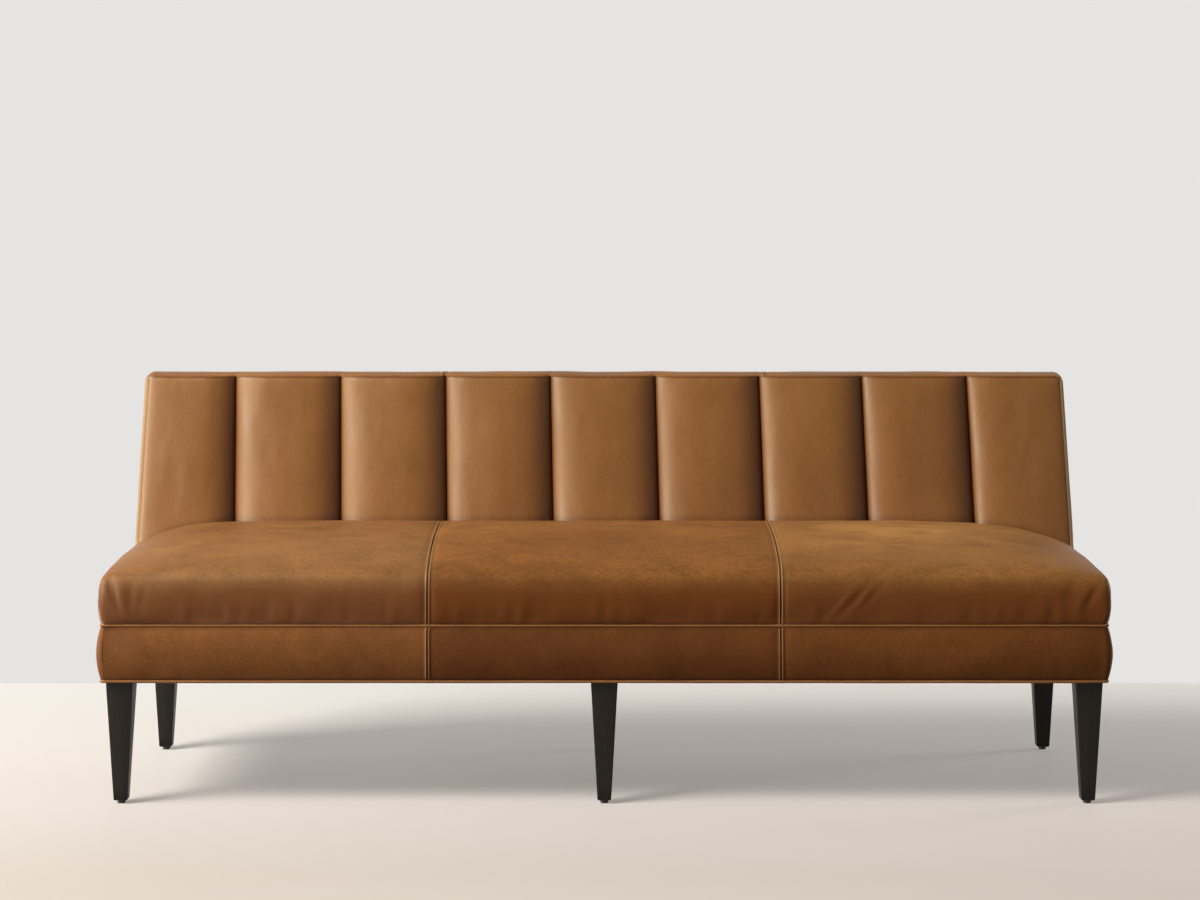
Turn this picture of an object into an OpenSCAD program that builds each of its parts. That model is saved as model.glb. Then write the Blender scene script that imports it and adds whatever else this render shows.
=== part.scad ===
// Upholstered banquette bench: a crowned leather seat on a boxed base, a raked back with
// upright channels, and six tapered legs on adjustable glides.
// The front faces -Y, X runs along the bench and Z = 0 is the floor.

/* [Overall] */
// Width of the base over its leather
bench_w = 2100; // [1800:10:2400]
// Depth from the front of the base band to the outside back
bench_d = 650; // [620:5:720]
// Height from the floor to the crown of the back
bench_h = 870; // [800:5:960]
// Height of the base's underside above the floor
leg_space = 256; // [200:1:300]
// Height of the base band, from the underside to the middle of the seat welt
base_h = 120; // [105:1:150]

/* [Seat] */
// Height of the cushion's boxed edge above the seat welt
edge_h = 90; // [70:1:110]
// How much the seat's crown rises above its boxed edge
crown_h = 74; // [40:1:90]
// How far in from its edges the crown takes to rise
crown_run = 110; // [80:1:150]
// Distance over which the boxed sides turn over to the top
side_round = 22; // [16:1:32]
// Distance over which the boxed front turns over to the top
front_round = 40; // [20:1:48]
// How far the cushion's sides lean out above the welt, before they turn in
seat_lean = 17; // [8:1:20]
// Thickness of the leather cover with its wadding
cover_t = 4; // [2:0.5:8]
// Distance of the two seams in the leather from the middle of the bench
seam_x = 368; // [300:1:420]
// Thickness of the felt pad over the webbing
deck_pad_t = 8; // [5:1:12]
// Width of one webbing strip
web_w = 50; // [30:1:60]
// Thickness of the webbing
web_t = 2; // [1:0.5:3]
// Number of webbing strips from front to back
web_count = 16; // [8:1:20]
// Number of webbing strips along the bench
web_rows = 4; // [2:1:5]

/* [Base leather] */
// Thickness of the band's leather with its padding, over the rails
skin_t = 8; // [6:0.5:10]
// How far the band swells out between its two welts
band_bulge = 5; // [2:0.5:8]
// Radius of the base's upright corners
corner_r = 10; // [10:0.5:14]
// Diameter of the piping
welt_d = 6.4; // [5:0.1:8]
// Thickness of the dust cover under the frame
dust_t = 0.8; // [0.5:0.1:1.5]

/* [Back] */
// Lean of the back's front from upright, in degrees
back_rake = 13; // [8:0.5:15]
// Number of upright channels
channel_count = 9; // [7:1:9]
// Thickness of a channel at its crown, measured square to the back
channel_t = 50; // [40:1:55]
// Thickness of a channel at the sewn groove, measured square to the back
groove_t = 20; // [14:1:26]
// Length over which a channel's crown falls back below the top seam
pinch_run = 45; // [25:1:80]
// Thickness of the plywood back panel
panel_t = 9; // [6:0.5:12]
// Thickness of the outside back's leather with its wadding
outside_t = 6; // [4:0.5:8]
// Height of the top boxing at its crown, above the channels
boxing_h = 8; // [6:0.5:12]
// How much lower the top boxing's front and rear edges are than its crown
boxing_crown = 5; // [2:0.5:5]
// Depth of the back at its top, from the grooves to the outside of the leather
top_depth = 72.7; // [68:0.1:80]
// Radius of the back's two top corners, as seen from the front
back_corner_r = 19; // [12:1:19]

/* [Frame] */
// Thickness of the rails and stiles
rail_t = 22; // [18:1:24]
// Size of a leg block from side to side and from front to back
block_w = 80; // [70:1:90]
// Height of a leg block
block_h = 45; // [35:1:50]
// Distance of the outer cross rails from the middle one
cross_pitch = 520; // [450:5:600]
// Distance of the inner stiles from the middle of the bench
inner_stile_x = 350; // [250:5:450]
// Height of the flat top rail of the back
top_rail_h = 25; // [18:1:40]
// Thickness of the plywood gussets between end rail and stile
gusset_t = 12; // [9:1:15]
// Length of a gusset from front to back
gusset_w = 160; // [150:2:180]
// Shank diameter of the gusset bolts
gusset_bolt_d = 6; // [5:0.5:8]

/* [Legs] */
// Side of a leg at its top
leg_top = 57; // [50:1:64]
// Side of a leg at its foot
leg_foot = 29; // [26:1:40]
// Distance of the legs' outer faces from the base's leather
leg_inset = 10; // [6:1:14]
// Chamfer round the foot
foot_chamfer = 2; // [1:0.5:3]
// Diameter of the leg bolts
leg_bolt_d = 8; // [6:0.5:8]
// Length of a leg bolt in the leg
leg_bolt_down = 40; // [30:1:60]
// Length of a leg bolt above the leg
leg_bolt_up = 32; // [25:1:34]

/* [Glides] */
// Diameter of a glide's pad
pad_d = 17; // [15:0.5:24]
// Height of a glide's pad
pad_h = 6.8; // [6.5:0.1:10]
// Diameter of a glide's threaded stud
stud_d = 8; // [6:0.5:8]
// Length of the stud above the pad
stud_l = 29; // [27:0.5:32]
// Diameter of the stud's flange, which turns inside the pad
flange_d = 12; // [10.5:0.5:13]
// Thickness of the stud's flange
flange_t = 2; // [1.5:0.1:2.5]
// Outer diameter of a threaded insert
insert_d = 11.5; // [10:0.5:12]
// Length of a threaded insert
insert_l = 18; // [14:0.5:20]

/* [Hidden] */
// Gap between soft pieces, and between a soft piece and what carries it
gap = 0.3;
// Radial running clearance of a stud in its insert and of its flange in the pad
run_clear = 0.05;
// Clearance in bores that only let a bolt pass
pass_clear = 0.5;
// Gap between a pad and its leg when the glide is screwed in
seat_gap = 0.2;
// Overrun of every cut
cut = 2;
// Bottom of a pad under the flange
pad_floor = 2;
// Chamfer round the pad's lower and upper edge
pad_chamfer = 1;
// Height of the foam's square lower edge
foam_foot = 0.8;
// Free depth of a leg's bore past the end of its bolt or stud
bore_end = 3;
// Head and nut of the gusset bolts, and depth of the head's recess
bolt_head_d = 14;
bolt_head_t = 3;
bolt_nut_d = 11;
bolt_nut_t = 5;
head_recess = 3.5;
// Margin of the dust cover round a leg
dust_margin = 1.5;
// Least wall left in the back's rounded top corner
corner_wall = 1;
// Height over which the back's side boxing steps back from the seat
boxing_step = 20;
// Sides of a nut
nut_sides = 6;
// Segments of round holes, pins and bolts
round_n = 32;
// Segments of the back's rounded corners
corner_n = 48;
// Steps in the swell of the base band and in the crown of the top boxing
swell_n = 8;

// Where the crown starts on the sides, as a share of its rise
side_crown_share = 0.2;
// Places of the seat's surface points, as shares of the distance over which an edge turns
edge_shares = [0, 0.12, 0.28, 0.55, 1];
// past that and from side to side, as shares of the way to the seam
side_shares = [0.07, 0.12, 0.18, 0.26, 0.38, 0.54, 0.76, 1];
// between the two seams, as shares of the seam's distance from the middle
middle_shares = [-0.5, 0, 0.5];
// and past it from front to back, as shares of the seat's depth
depth_shares = [0.12, 0.17, 0.24, 0.34, 0.46, 0.6, 0.74, 0.86];
// Width of an end channel, as a share of the others' width
end_channel_share = 0.83;
// Fullness of a channel's crown at the top seam, as a share of its full rise
pinch_share = 0.35;
// Power of the channel's rounded section: more is squarer
channel_power = 2.6;
// Heights of a channel's surface points, as shares of its height
channel_shares = [0, 0.25, 0.5, 0.7, 0.83, 0.9, 0.95, 0.98, 1];
// Spaces across a channel's section
channel_n = 8;
// Places of the four bolts in a gusset, as shares of half its length
gusset_bolt_shares = [-0.85, -0.5, 0.5, 0.85];
// Distance of the first and last lengthwise webbing strip from the rails, in strip widths
web_edge_share = 1.2;

half_w = bench_w / 2;
front_y = -bench_d / 2 + band_bulge;
rear_y = bench_d / 2;
frame_x = half_w - skin_t;
frame_front_y = front_y + skin_t;
frame_rear_y = rear_y - outside_t;
inner_x = frame_x - rail_t;

rail_z0 = leg_space + welt_d;
seat_welt_z = leg_space + base_h;
cushion_z = seat_welt_z + welt_d / 2 + gap;
deck_z0 = cushion_z - gap - deck_pad_t;
rail_z1 = deck_z0 - 2 * web_t - 3 * gap;
web_z = rail_z1 + gap;
gusset_z0 = rail_z0 + block_h;
seat_top_z = cushion_z + edge_h + crown_h;
boxing_z = bench_h - boxing_h;
boxing_edge_z = bench_h - boxing_crown;
stile_top = boxing_z - gap;
top_r = min(back_corner_r, (skin_t - corner_wall) / (1 - sqrt(0.5)));

channel_run = channel_t / cos(back_rake);
groove_run = groove_t / cos(back_rake);
panel_run = panel_t / cos(back_rake);

// The raked front of the back, in side view: y at a height z
function crown_y(z) = rear_y - top_depth - channel_run + groove_run + (z - boxing_z) * tan(back_rake);
function panel_y(z) = crown_y(z) + channel_run;
function stile_y(z) = panel_y(z) + panel_run;
function groove_y(z) = panel_y(z) - groove_run;

seat_depth = crown_y(seat_top_z) - front_y;
joint_y = stile_y(rail_z1);
back_rail_y1 = joint_y + rail_t;
gusset_x = inner_x - gusset_t;

leg_h = rail_z0 - pad_h - seat_gap;
leg_x = half_w - leg_inset - leg_top / 2;
leg_y = [front_y + leg_inset + leg_top / 2, rear_y - leg_inset - leg_top / 2];
leg_places = [for (y = leg_y) for (side = [-1, 0, 1]) [side * leg_x, y]];
leg_names = ["front_left", "front_center", "front_right", "rear_left", "rear_center", "rear_right"];

channel_w = 2 * (frame_x - gap) / (channel_count - 2 + 2 * end_channel_share);
function channel_edge(k) =
    k == 0 ? -(frame_x - gap)
    : k == channel_count ? frame_x - gap
    : -(frame_x - gap) + (end_channel_share + k - 1) * channel_w;

leather = [0.6, 0.4, 0.22];
piping = [0.5, 0.32, 0.17];
timber = [0.78, 0.64, 0.45];
ply = [0.85, 0.74, 0.56];
steel = [0.7, 0.71, 0.73];
foam = [0.94, 0.9, 0.75];
cloth = [0.72, 0.66, 0.55];
black_cloth = [0.13, 0.13, 0.14];
espresso = [0.17, 0.14, 0.12];
nylon = [0.09, 0.09, 0.1];

// Helpers

// A block between two opposite corners
module block(low, high) {
    translate(low) cube(high - low);
}

// A side-view outline [y, z], extruded from x0 to x1
module across(x0, x1, outline) {
    translate([x0, 0, 0]) rotate([90, 0, 90]) linear_extrude(x1 - x0) polygon(outline);
}

// What is drawn for the right-hand side, drawn for both
module both_sides() {
    children();
    mirror([1, 0, 0]) children();
}

// A bar with n sides along X, from x0 to x1, with its axis at y and z
module bar_x(x0, x1, y, z, r, n = round_n) {
    translate([x0, y, z]) rotate([0, 90, 0]) cylinder(h = x1 - x0, r = r, $fn = n);
}

// A round bar along Y, from y0 to y1, with its axis at x and z
module bar_y(y0, y1, x, z, r) {
    translate([x, y0, z]) rotate([-90, 0, 0]) cylinder(h = y1 - y0, r = r, $fn = round_n);
}

// A quarter of a piping ring round an upright corner, from angle a to a + 90 degrees
module bar_corner(x, y, z, bend_r, r, a) {
    translate([x, y, z]) rotate([0, 0, a]) rotate_extrude(angle = 90, $fn = corner_n)
        translate([bend_r, 0]) circle(r = r, $fn = round_n);
}

// Number of the point in row j and column i of a grid with nu columns
function at(i, j, nu) = j * nu + i;

// The two triangles of each of a grid's squares
function grid_faces(nu, nv) = [
    for (j = [0:nv - 2]) for (i = [0:nu - 2]) for (half = [0, 1])
        half == 0 ? [at(i, j, nu), at(i + 1, j + 1, nu), at(i + 1, j, nu)]
        : [at(i, j, nu), at(i, j + 1, nu), at(i + 1, j + 1, nu)]
];

// The grid's edge, once round
function edge_loop(nu, nv) = concat(
    [for (i = [0:nu - 2]) at(i, 0, nu)],
    [for (j = [0:nv - 2]) at(nu - 1, j, nu)],
    [for (i = [nu - 1:-1:1]) at(i, nv - 1, nu)],
    [for (j = [nv - 1:-1:1]) at(0, j, nu)]);

// A closed solid between a curved grid and one flat face, whose corners are the grid's edge
// points after they are moved onto the flat face
module capped_grid(points, flat_edge, nu, nv) {
    loop = edge_loop(nu, nv);
    n = len(loop);
    base = len(points);
    polyhedron(
        points = concat(points, flat_edge),
        faces = concat(
            grid_faces(nu, nv),
            [for (k = [0:n - 1]) [loop[k], loop[(k + 1) % n], base + (k + 1) % n]],
            [for (k = [0:n - 1]) [loop[k], base + (k + 1) % n, base + k]],
            [[for (k = [0:n - 1]) base + k]]));
}

// A closed shell between an outer and an inner grid of the same size
module shell_grid(outer, inner, nu, nv) {
    loop = edge_loop(nu, nv);
    n = len(loop);
    base = len(outer);
    polyhedron(
        points = concat(outer, inner),
        faces = concat(
            grid_faces(nu, nv),
            [for (f = grid_faces(nu, nv)) [base + f[2], base + f[1], base + f[0]]],
            [for (k = [0:n - 1]) [loop[k], loop[(k + 1) % n], base + loop[(k + 1) % n]]],
            [for (k = [0:n - 1]) [loop[k], base + loop[(k + 1) % n], base + loop[k]]]));
}

// Seat cushion form

function clamp(x, low, high) = min(max(x, low), high);

// How far the rounded edge has risen, from 0 to 1, at distances from the side and the front
function edge_rise(dx, dy) =
    let(turn = min(dx / side_round, dy / front_round, 1))
    sqrt(1 - pow(1 - turn, 2));

// How far the crown has risen at a distance d from an edge
function crown_rise(d, start) = start + (1 - start) * (1 - exp(-d / crown_run));

// Height of the cushion above its welt, dx in from the nearer side and dy in from the front
function cushion_h(dx, dy) =
    edge_rise(dx, dy) * (edge_h + crown_h * crown_rise(dx, side_crown_share) * crown_rise(dy, 0));

// How far a point past the turn of its edge by a distance d leans out, at a height h
function lean(d, h) =
    seat_lean * pow(min(1, h / edge_h), 1.5) * max(0, 1 - max(0, d) / crown_run);

side_run = half_w - seam_x;
side_places = concat(edge_shares * side_round, side_shares * side_run);
columns = concat(
    [for (d = side_places) d - half_w],
    middle_shares * seam_x,
    [for (k = [len(side_places) - 1:-1:0]) half_w - side_places[k]]);
seam_column = len(side_places) - 1;
rows = concat(edge_shares * front_round, depth_shares * seat_depth, [seat_depth]);

// A point of the cushion's surface, set inward by t, with x kept between low and high and the
// lowest points a foot above the welt
function cushion_point(x, dy, t, low, high, foot) =
    let(dx = half_w - abs(x),
        side = sign(x),
        last = dy >= seat_depth,
        h = cushion_h(dx, dy),
        out = lean(dx - side_round, h),
        inset = t * max(0, 1 - dx / side_run),
        z = cushion_z + max(h - t * edge_rise(dx, dy), foot),
        y = front_y + dy - lean(dy - front_round, h) + t * (1 - dy / seat_depth))
    [clamp(x + side * (out - inset), low, high), last ? crown_y(z) - gap : y, z];

function cushion_grid(first, final, t, low, high, foot = 0) =
    [for (dy = rows) for (i = [first:final]) cushion_point(columns[i], dy, t, low, high, foot)];

module seat_cover(first, final, low, high) {
    color(leather)
        shell_grid(
            cushion_grid(first, final, 0, low, high),
            cushion_grid(first, final, cover_t, low, high),
            final - first + 1, len(rows));
}

module seat_cover_left() {
    seat_cover(0, seam_column, -bench_w, -seam_x - gap / 2);
}

module seat_cover_center() {
    seat_cover(seam_column, len(columns) - 1 - seam_column, -seam_x + gap / 2, seam_x - gap / 2);
}

module seat_cover_right() {
    seat_cover(len(columns) - 1 - seam_column, len(columns) - 1, seam_x + gap / 2, bench_w);
}

// The foam stands on a flat bottom with the same grid
module seat_foam() {
    t = cover_t + gap;
    top = cushion_grid(0, len(columns) - 1, t, -bench_w, bench_w, foam_foot);
    bottom = [for (dy = rows) for (x = columns)
        [x - sign(x) * t * max(0, 1 - (half_w - abs(x)) / side_run),
         dy >= seat_depth ? crown_y(cushion_z) - gap : front_y + dy + t * (1 - dy / seat_depth),
         cushion_z]];
    color(foam) shell_grid(top, bottom, len(columns), len(rows));
}

// Seat suspension

module seat_webbing() {
    span = inner_x - web_w;
    first_row = frame_front_y + rail_t + web_edge_share * web_w;
    last_row = joint_y - web_edge_share * web_w;
    color(cloth) {
        for (k = [0:web_count - 1]) {
            x = -span + 2 * span * k / (web_count - 1);
            block([x - web_w / 2, frame_front_y, web_z], [x + web_w / 2, back_rail_y1, web_z + web_t]);
        }
        for (k = [0:web_rows - 1]) {
            y = first_row + (last_row - first_row) * k / (web_rows - 1);
            z = web_z + web_t + gap;
            block([-frame_x, y - web_w / 2, z], [frame_x, y + web_w / 2, z + web_t]);
        }
    }
}

module deck_pad() {
    color(cloth)
        block([-frame_x, frame_front_y, deck_z0], [frame_x, panel_y(deck_z0) - gap, cushion_z - gap]);
}

// Base leather

// How far the band stands out at a share s of its height
function swell(s) = band_bulge * sin(180 * s);

band_z0 = rail_z0 + gap;
band_z1 = seat_welt_z - welt_d / 2 - gap;
band_x0 = corner_r - half_w + gap;
band_shares = [for (k = [0:swell_n]) k / swell_n];

// One front panel of the band, from x0 to x1
module base_band(x0, x1) {
    outer = [for (s = band_shares) [front_y - swell(s), band_z0 + s * (band_z1 - band_z0)]];
    color(leather)
        across(x0, x1, concat(outer, [[frame_front_y - gap, band_z1], [frame_front_y - gap, band_z0]]));
}

// The right-hand end of the band, which turns the corner to the seam on the front
module base_end() {
    outer = [for (s = band_shares) [corner_r + swell(s), band_z0 + s * (band_z1 - band_z0)]];
    outline = concat([[0, band_z0]], outer, [[0, band_z1]]);
    end_y = frame_rear_y - gap;
    start_y = front_y + corner_r;
    color(leather)
        difference() {
            union() {
                translate([half_w - corner_r, end_y, 0]) rotate([90, 0, 0])
                    linear_extrude(end_y - start_y) polygon(outline);
                translate([half_w - corner_r, start_y, 0]) rotate([0, 0, -90])
                    rotate_extrude(angle = 90, $fn = corner_n) polygon(outline);
            }
            block([0, frame_front_y - gap, leg_space], [frame_x + gap, rear_y + cut, seat_welt_z]);
        }
}

// Piping with its outer side on the leather's outline, along both ends and the front
module welt_path(z, end_y) {
    r = welt_d / 2;
    bend = corner_r - r;
    both_sides() {
        bar_y(front_y + corner_r, end_y, half_w - r, z, r);
        bar_corner(half_w - corner_r, front_y + corner_r, z, bend, r, -90);
    }
    bar_x(corner_r - half_w, half_w - corner_r, front_y + r, z, r);
}

module seat_welt() {
    color(piping) welt_path(seat_welt_z, frame_rear_y - gap);
}

module base_welt() {
    r = welt_d / 2;
    z = leg_space + r;
    color(piping) {
        welt_path(z, rear_y - corner_r);
        both_sides() bar_corner(half_w - corner_r, rear_y - corner_r, z, corner_r - r, r, 0);
        bar_x(corner_r - half_w, half_w - corner_r, rear_y - r, z, r);
    }
}

module dust_cover() {
    reach = leg_top / 2 + dust_margin;
    x = frame_x - rail_t / 2;
    y0 = frame_front_y + rail_t / 2;
    y1 = frame_rear_y - rail_t / 2;
    z1 = rail_z0 - gap;
    color(black_cloth)
        difference() {
            block([-x, y0, z1 - dust_t], [x, y1, z1]);
            for (p = leg_places)
                block([p[0] - reach, p[1] - reach, z1 - dust_t - cut],
                      [p[0] + reach, p[1] + reach, z1 + cut]);
        }
}

// Back leather

// Fullness of a channel at a share u across it and at a depth below the top seam
function channel_round(u) = sqrt(1 - pow(abs(2 * u - 1), channel_power));
function channel_full(depth) =
    1 - (1 - pinch_share) * pow(1 - min(depth / pinch_run, 1), 2);

module back_channel(k) {
    x0 = channel_edge(k) + gap / 2;
    x1 = channel_edge(k + 1) - gap / 2;
    z0 = cushion_z;
    z1 = boxing_z - gap;
    nu = channel_n + 1;
    nv = len(channel_shares);
    us = [for (i = [0:channel_n]) (1 - cos(180 * i / channel_n)) / 2];
    front = [for (v = channel_shares) for (u = us)
        let(z = z0 + v * (z1 - z0),
            rise = (channel_run - groove_run) * channel_round(u) * channel_full(z1 - z))
        [x0 + u * (x1 - x0), groove_y(z) - rise, z]];
    flat_edge = [for (i = edge_loop(nu, nv)) [front[i][0], panel_y(front[i][2]) - gap, front[i][2]]];
    color(leather) capped_grid(front, flat_edge, nu, nv);
}

// Upright face of the back, as seen from the front, with its top corners rounded
module back_outline(z0, top) {
    translate([-half_w, z0]) square([2 * half_w, top - top_r - z0]);
    translate([top_r - half_w, z0]) square([2 * (half_w - top_r), top - z0]);
    for (side = [-1, 1])
        translate([side * (half_w - top_r), top - top_r]) circle(r = top_r, $fn = corner_n);
}

// An outline [x, z] extruded from y0 to y1
module along(y0, y1) {
    translate([0, y1, 0]) rotate([90, 0, 0]) linear_extrude(y1 - y0) children();
}

// Side view of the boxing, with the crown of its top
function boxing_side() =
    let(z0 = cushion_z,
        z_seat = cushion_z + edge_h,
        y1 = frame_rear_y - gap,
        y0 = groove_y(boxing_z))
    concat(
        [[crown_y(z0), z0], [crown_y(z_seat), z_seat]],
        [[groove_y(z_seat + boxing_step), z_seat + boxing_step], [y0, boxing_z]],
        [for (s = band_shares) [y0 + s * (y1 - y0), boxing_edge_z + boxing_crown * (1 - pow(2 * s - 1, 2))]],
        [[y1, z0]]);

// The boxing strip between x0 and x1: up one side, over the top and down the other
module back_boxing(x0, x1) {
    color(leather)
        intersection() {
            along(front_y, rear_y)
                difference() {
                    back_outline(cushion_z, bench_h);
                    translate([-frame_x, cushion_z - cut]) square([2 * frame_x, boxing_z - cushion_z + cut]);
                }
            across(x0, x1, boxing_side());
        }
}

module outside_back() {
    splits = [-half_w - cut, -seam_x, seam_x, half_w + cut];
    color(leather)
        for (k = [0:2])
            intersection() {
                along(frame_rear_y, rear_y) back_outline(band_z0, boxing_edge_z);
                block([splits[k] + gap / 2, front_y, leg_space],
                      [splits[k + 1] - gap / 2, rear_y + cut, bench_h]);
            }
}

// Frame

module front_rail() {
    color(timber)
        block([-frame_x, frame_front_y, rail_z0], [frame_x, frame_front_y + rail_t, rail_z1]);
}

module rear_rail() {
    color(timber)
        block([-inner_x, frame_rear_y - rail_t, rail_z0], [inner_x, frame_rear_y, rail_z1]);
}

module seat_back_rail() {
    color(timber)
        block([-gusset_x, joint_y, rail_z0], [gusset_x, back_rail_y1, rail_z1]);
}

// Bores of one side's gusset bolts, with a recess for the heads
module gusset_bores() {
    for (s = gusset_bolt_shares) {
        y = joint_y + s * gusset_w / 2;
        z = (gusset_z0 + rail_z1) / 2;
        bar_x(gusset_x - cut, frame_x + cut, y, z, gusset_bolt_d / 2 + run_clear);
        bar_x(frame_x - head_recess, frame_x + cut, y, z, bolt_head_d / 2 + pass_clear);
    }
}

module end_rails() {
    color(timber)
        both_sides()
            difference() {
                block([inner_x, frame_front_y + rail_t, rail_z0], [frame_x, joint_y, rail_z1]);
                gusset_bores();
            }
}

module back_stile() {
    outline = [
        [joint_y, rail_z0],
        [frame_rear_y, rail_z0],
        [frame_rear_y, stile_top],
        [stile_y(stile_top), stile_top],
        [joint_y, rail_z1]
    ];
    color(timber)
        difference() {
            across(inner_x, frame_x, outline);
            gusset_bores();
        }
}

module stile_gussets() {
    color(ply)
        both_sides()
            difference() {
                block([gusset_x, joint_y - gusset_w / 2, gusset_z0],
                      [inner_x, joint_y + gusset_w / 2, rail_z1]);
                gusset_bores();
            }
}

module gusset_bolts() {
    z = (gusset_z0 + rail_z1) / 2;
    head_x = frame_x - head_recess;
    color(steel)
        both_sides()
            for (s = gusset_bolt_shares) {
                y = joint_y + s * gusset_w / 2;
                bar_x(head_x, head_x + bolt_head_t, y, z, bolt_head_d / 2);
                bar_x(gusset_x - bolt_nut_t, head_x, y, z, gusset_bolt_d / 2);
                bar_x(gusset_x - bolt_nut_t, gusset_x, y, z, bolt_nut_d / 2, nut_sides);
            }
}

module cross_rails() {
    color(timber)
        for (x = [-cross_pitch, 0, cross_pitch])
            block([x - rail_t / 2, frame_front_y + rail_t, gusset_z0], [x + rail_t / 2, joint_y, rail_z1]);
}

module inner_stiles() {
    outline = [
        [back_rail_y1, rail_z0],
        [frame_rear_y - rail_t, rail_z0],
        [frame_rear_y - rail_t, rail_z1],
        [frame_rear_y, rail_z1],
        [frame_rear_y, stile_top - top_rail_h],
        [stile_y(stile_top - top_rail_h), stile_top - top_rail_h],
        [stile_y(deck_z0), deck_z0],
        [back_rail_y1, deck_z0]
    ];
    color(timber)
        for (x = [-inner_stile_x, inner_stile_x])
            across(x - rail_t / 2, x + rail_t / 2, outline);
}

module back_top_rail() {
    outline = [
        [stile_y(stile_top - top_rail_h), stile_top - top_rail_h],
        [frame_rear_y, stile_top - top_rail_h],
        [frame_rear_y, stile_top],
        [stile_y(stile_top), stile_top]
    ];
    color(timber) across(-inner_x, inner_x, outline);
}

module back_panel() {
    outline = [
        [panel_y(deck_z0), deck_z0],
        [stile_y(deck_z0), deck_z0],
        [stile_y(stile_top), stile_top],
        [panel_y(stile_top), stile_top]
    ];
    color(ply) across(-frame_x, frame_x, outline);
}

// Bores of a leg block for the insert and, above it, the bolt
module block_bores() {
    for (p = leg_places)
        translate([p[0], p[1], rail_z0]) {
            translate([0, 0, -cut]) cylinder(h = insert_l + cut, d = insert_d, $fn = round_n);
            cylinder(h = leg_bolt_up + bore_end, d = leg_bolt_d + 2 * pass_clear, $fn = round_n);
        }
}

module leg_blocks() {
    front0 = frame_front_y + rail_t;
    rear1 = frame_rear_y - rail_t;
    color(timber)
        difference() {
            for (span = [[front0, front0 + block_w], [max(rear1 - block_w, back_rail_y1 + gap), rear1]]) {
                block([-block_w / 2, span[0], rail_z0], [block_w / 2, span[1], gusset_z0]);
                both_sides() block([inner_x - block_w, span[0], rail_z0], [inner_x, span[1], gusset_z0]);
            }
            block_bores();
        }
}

// Fasteners

module leg_bolts() {
    color(steel)
        for (p = leg_places)
            translate([p[0], p[1], rail_z0 - leg_bolt_down])
                cylinder(h = leg_bolt_down + leg_bolt_up, d = leg_bolt_d, $fn = round_n);
}

// A threaded insert with its bore, standing on z = 0
module threaded_insert(bore_d) {
    difference() {
        cylinder(h = insert_l, d = insert_d, $fn = round_n);
        translate([0, 0, -cut]) cylinder(h = insert_l + 2 * cut, d = bore_d + 2 * run_clear, $fn = round_n);
    }
}

module threaded_inserts() {
    color(steel)
        for (p = leg_places) {
            translate([p[0], p[1], rail_z0]) threaded_insert(leg_bolt_d);
            translate([p[0], p[1], rail_z0 - leg_h]) threaded_insert(stud_d);
        }
}

// Legs and glides

// A square of side s at height z
function square_ring(s, z) = [
    [-s / 2, -s / 2, z], [s / 2, -s / 2, z], [s / 2, s / 2, z], [-s / 2, s / 2, z]
];

module leg(k) {
    rings = concat(
        square_ring(leg_foot - 2 * foot_chamfer, 0),
        square_ring(leg_foot, foot_chamfer),
        square_ring(leg_top, leg_h));
    sides = [for (ring = [0, 1]) for (i = [0:3])
        [4 * ring + i, 4 * ring + 4 + i, 4 * ring + 4 + (i + 1) % 4, 4 * ring + (i + 1) % 4]];
    stud_bore = stud_l + bore_end;
    color(espresso)
        translate([leg_places[k][0], leg_places[k][1], rail_z0 - leg_h])
            difference() {
                polyhedron(points = rings, faces = concat([[0, 1, 2, 3]], sides, [[11, 10, 9, 8]]));
                translate([0, 0, -cut]) cylinder(h = insert_l + cut, d = insert_d, $fn = round_n);
                cylinder(h = stud_bore, d = stud_d + 2 * pass_clear, $fn = round_n);
                translate([0, 0, leg_h - leg_bolt_down])
                    cylinder(h = leg_bolt_down + cut, d = leg_bolt_d + 2 * run_clear, $fn = round_n);
            }
}

module glide_pad(k) {
    r = pad_d / 2;
    hollow_r = flange_d / 2 + run_clear;
    neck_r = stud_d / 2 + run_clear;
    hollow_z1 = pad_floor + flange_t + 2 * run_clear;
    color(nylon)
        translate([leg_places[k][0], leg_places[k][1], 0])
            rotate_extrude($fn = corner_n)
                polygon([
                    [0, 0], [r - pad_chamfer, 0], [r, pad_chamfer], [r, pad_h - pad_chamfer],
                    [r - pad_chamfer, pad_h], [neck_r, pad_h], [neck_r, hollow_z1],
                    [hollow_r, hollow_z1], [hollow_r, pad_floor], [0, pad_floor]
                ]);
}

module glide_stud(k) {
    z0 = pad_floor + run_clear;
    color(steel)
        translate([leg_places[k][0], leg_places[k][1], z0]) {
            cylinder(h = flange_t, d = flange_d, $fn = round_n);
            cylinder(h = pad_h + stud_l - z0, d = stud_d, $fn = round_n);
        }
}

front_rail();
seat_back_rail();
rear_rail();
end_rails();
cross_rails();
leg_blocks();
mirror([1, 0, 0]) back_stile();  // back_stile_left
back_stile();  // back_stile_right
inner_stiles();
back_top_rail();
back_panel();
stile_gussets();
gusset_bolts();
leg_bolts();
threaded_inserts();
seat_webbing();
deck_pad();
seat_foam();
seat_cover_left();
seat_cover_center();
seat_cover_right();
seat_welt();
base_band(band_x0, -seam_x - gap / 2);  // base_band_left
base_band(gap / 2 - seam_x, seam_x - gap / 2);  // base_band_center
base_band(seam_x + gap / 2, -band_x0);  // base_band_right
mirror([1, 0, 0]) base_end();  // base_end_left
base_end();  // base_end_right
base_welt();
dust_cover();
back_boxing(-bench_w, -seam_x - gap / 2);  // back_boxing_left
back_boxing(gap / 2 - seam_x, seam_x - gap / 2);  // back_boxing_center
back_boxing(seam_x + gap / 2, bench_w);  // back_boxing_right
outside_back();
for (k = [1:channel_count])
    back_channel(k - 1);
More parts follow.
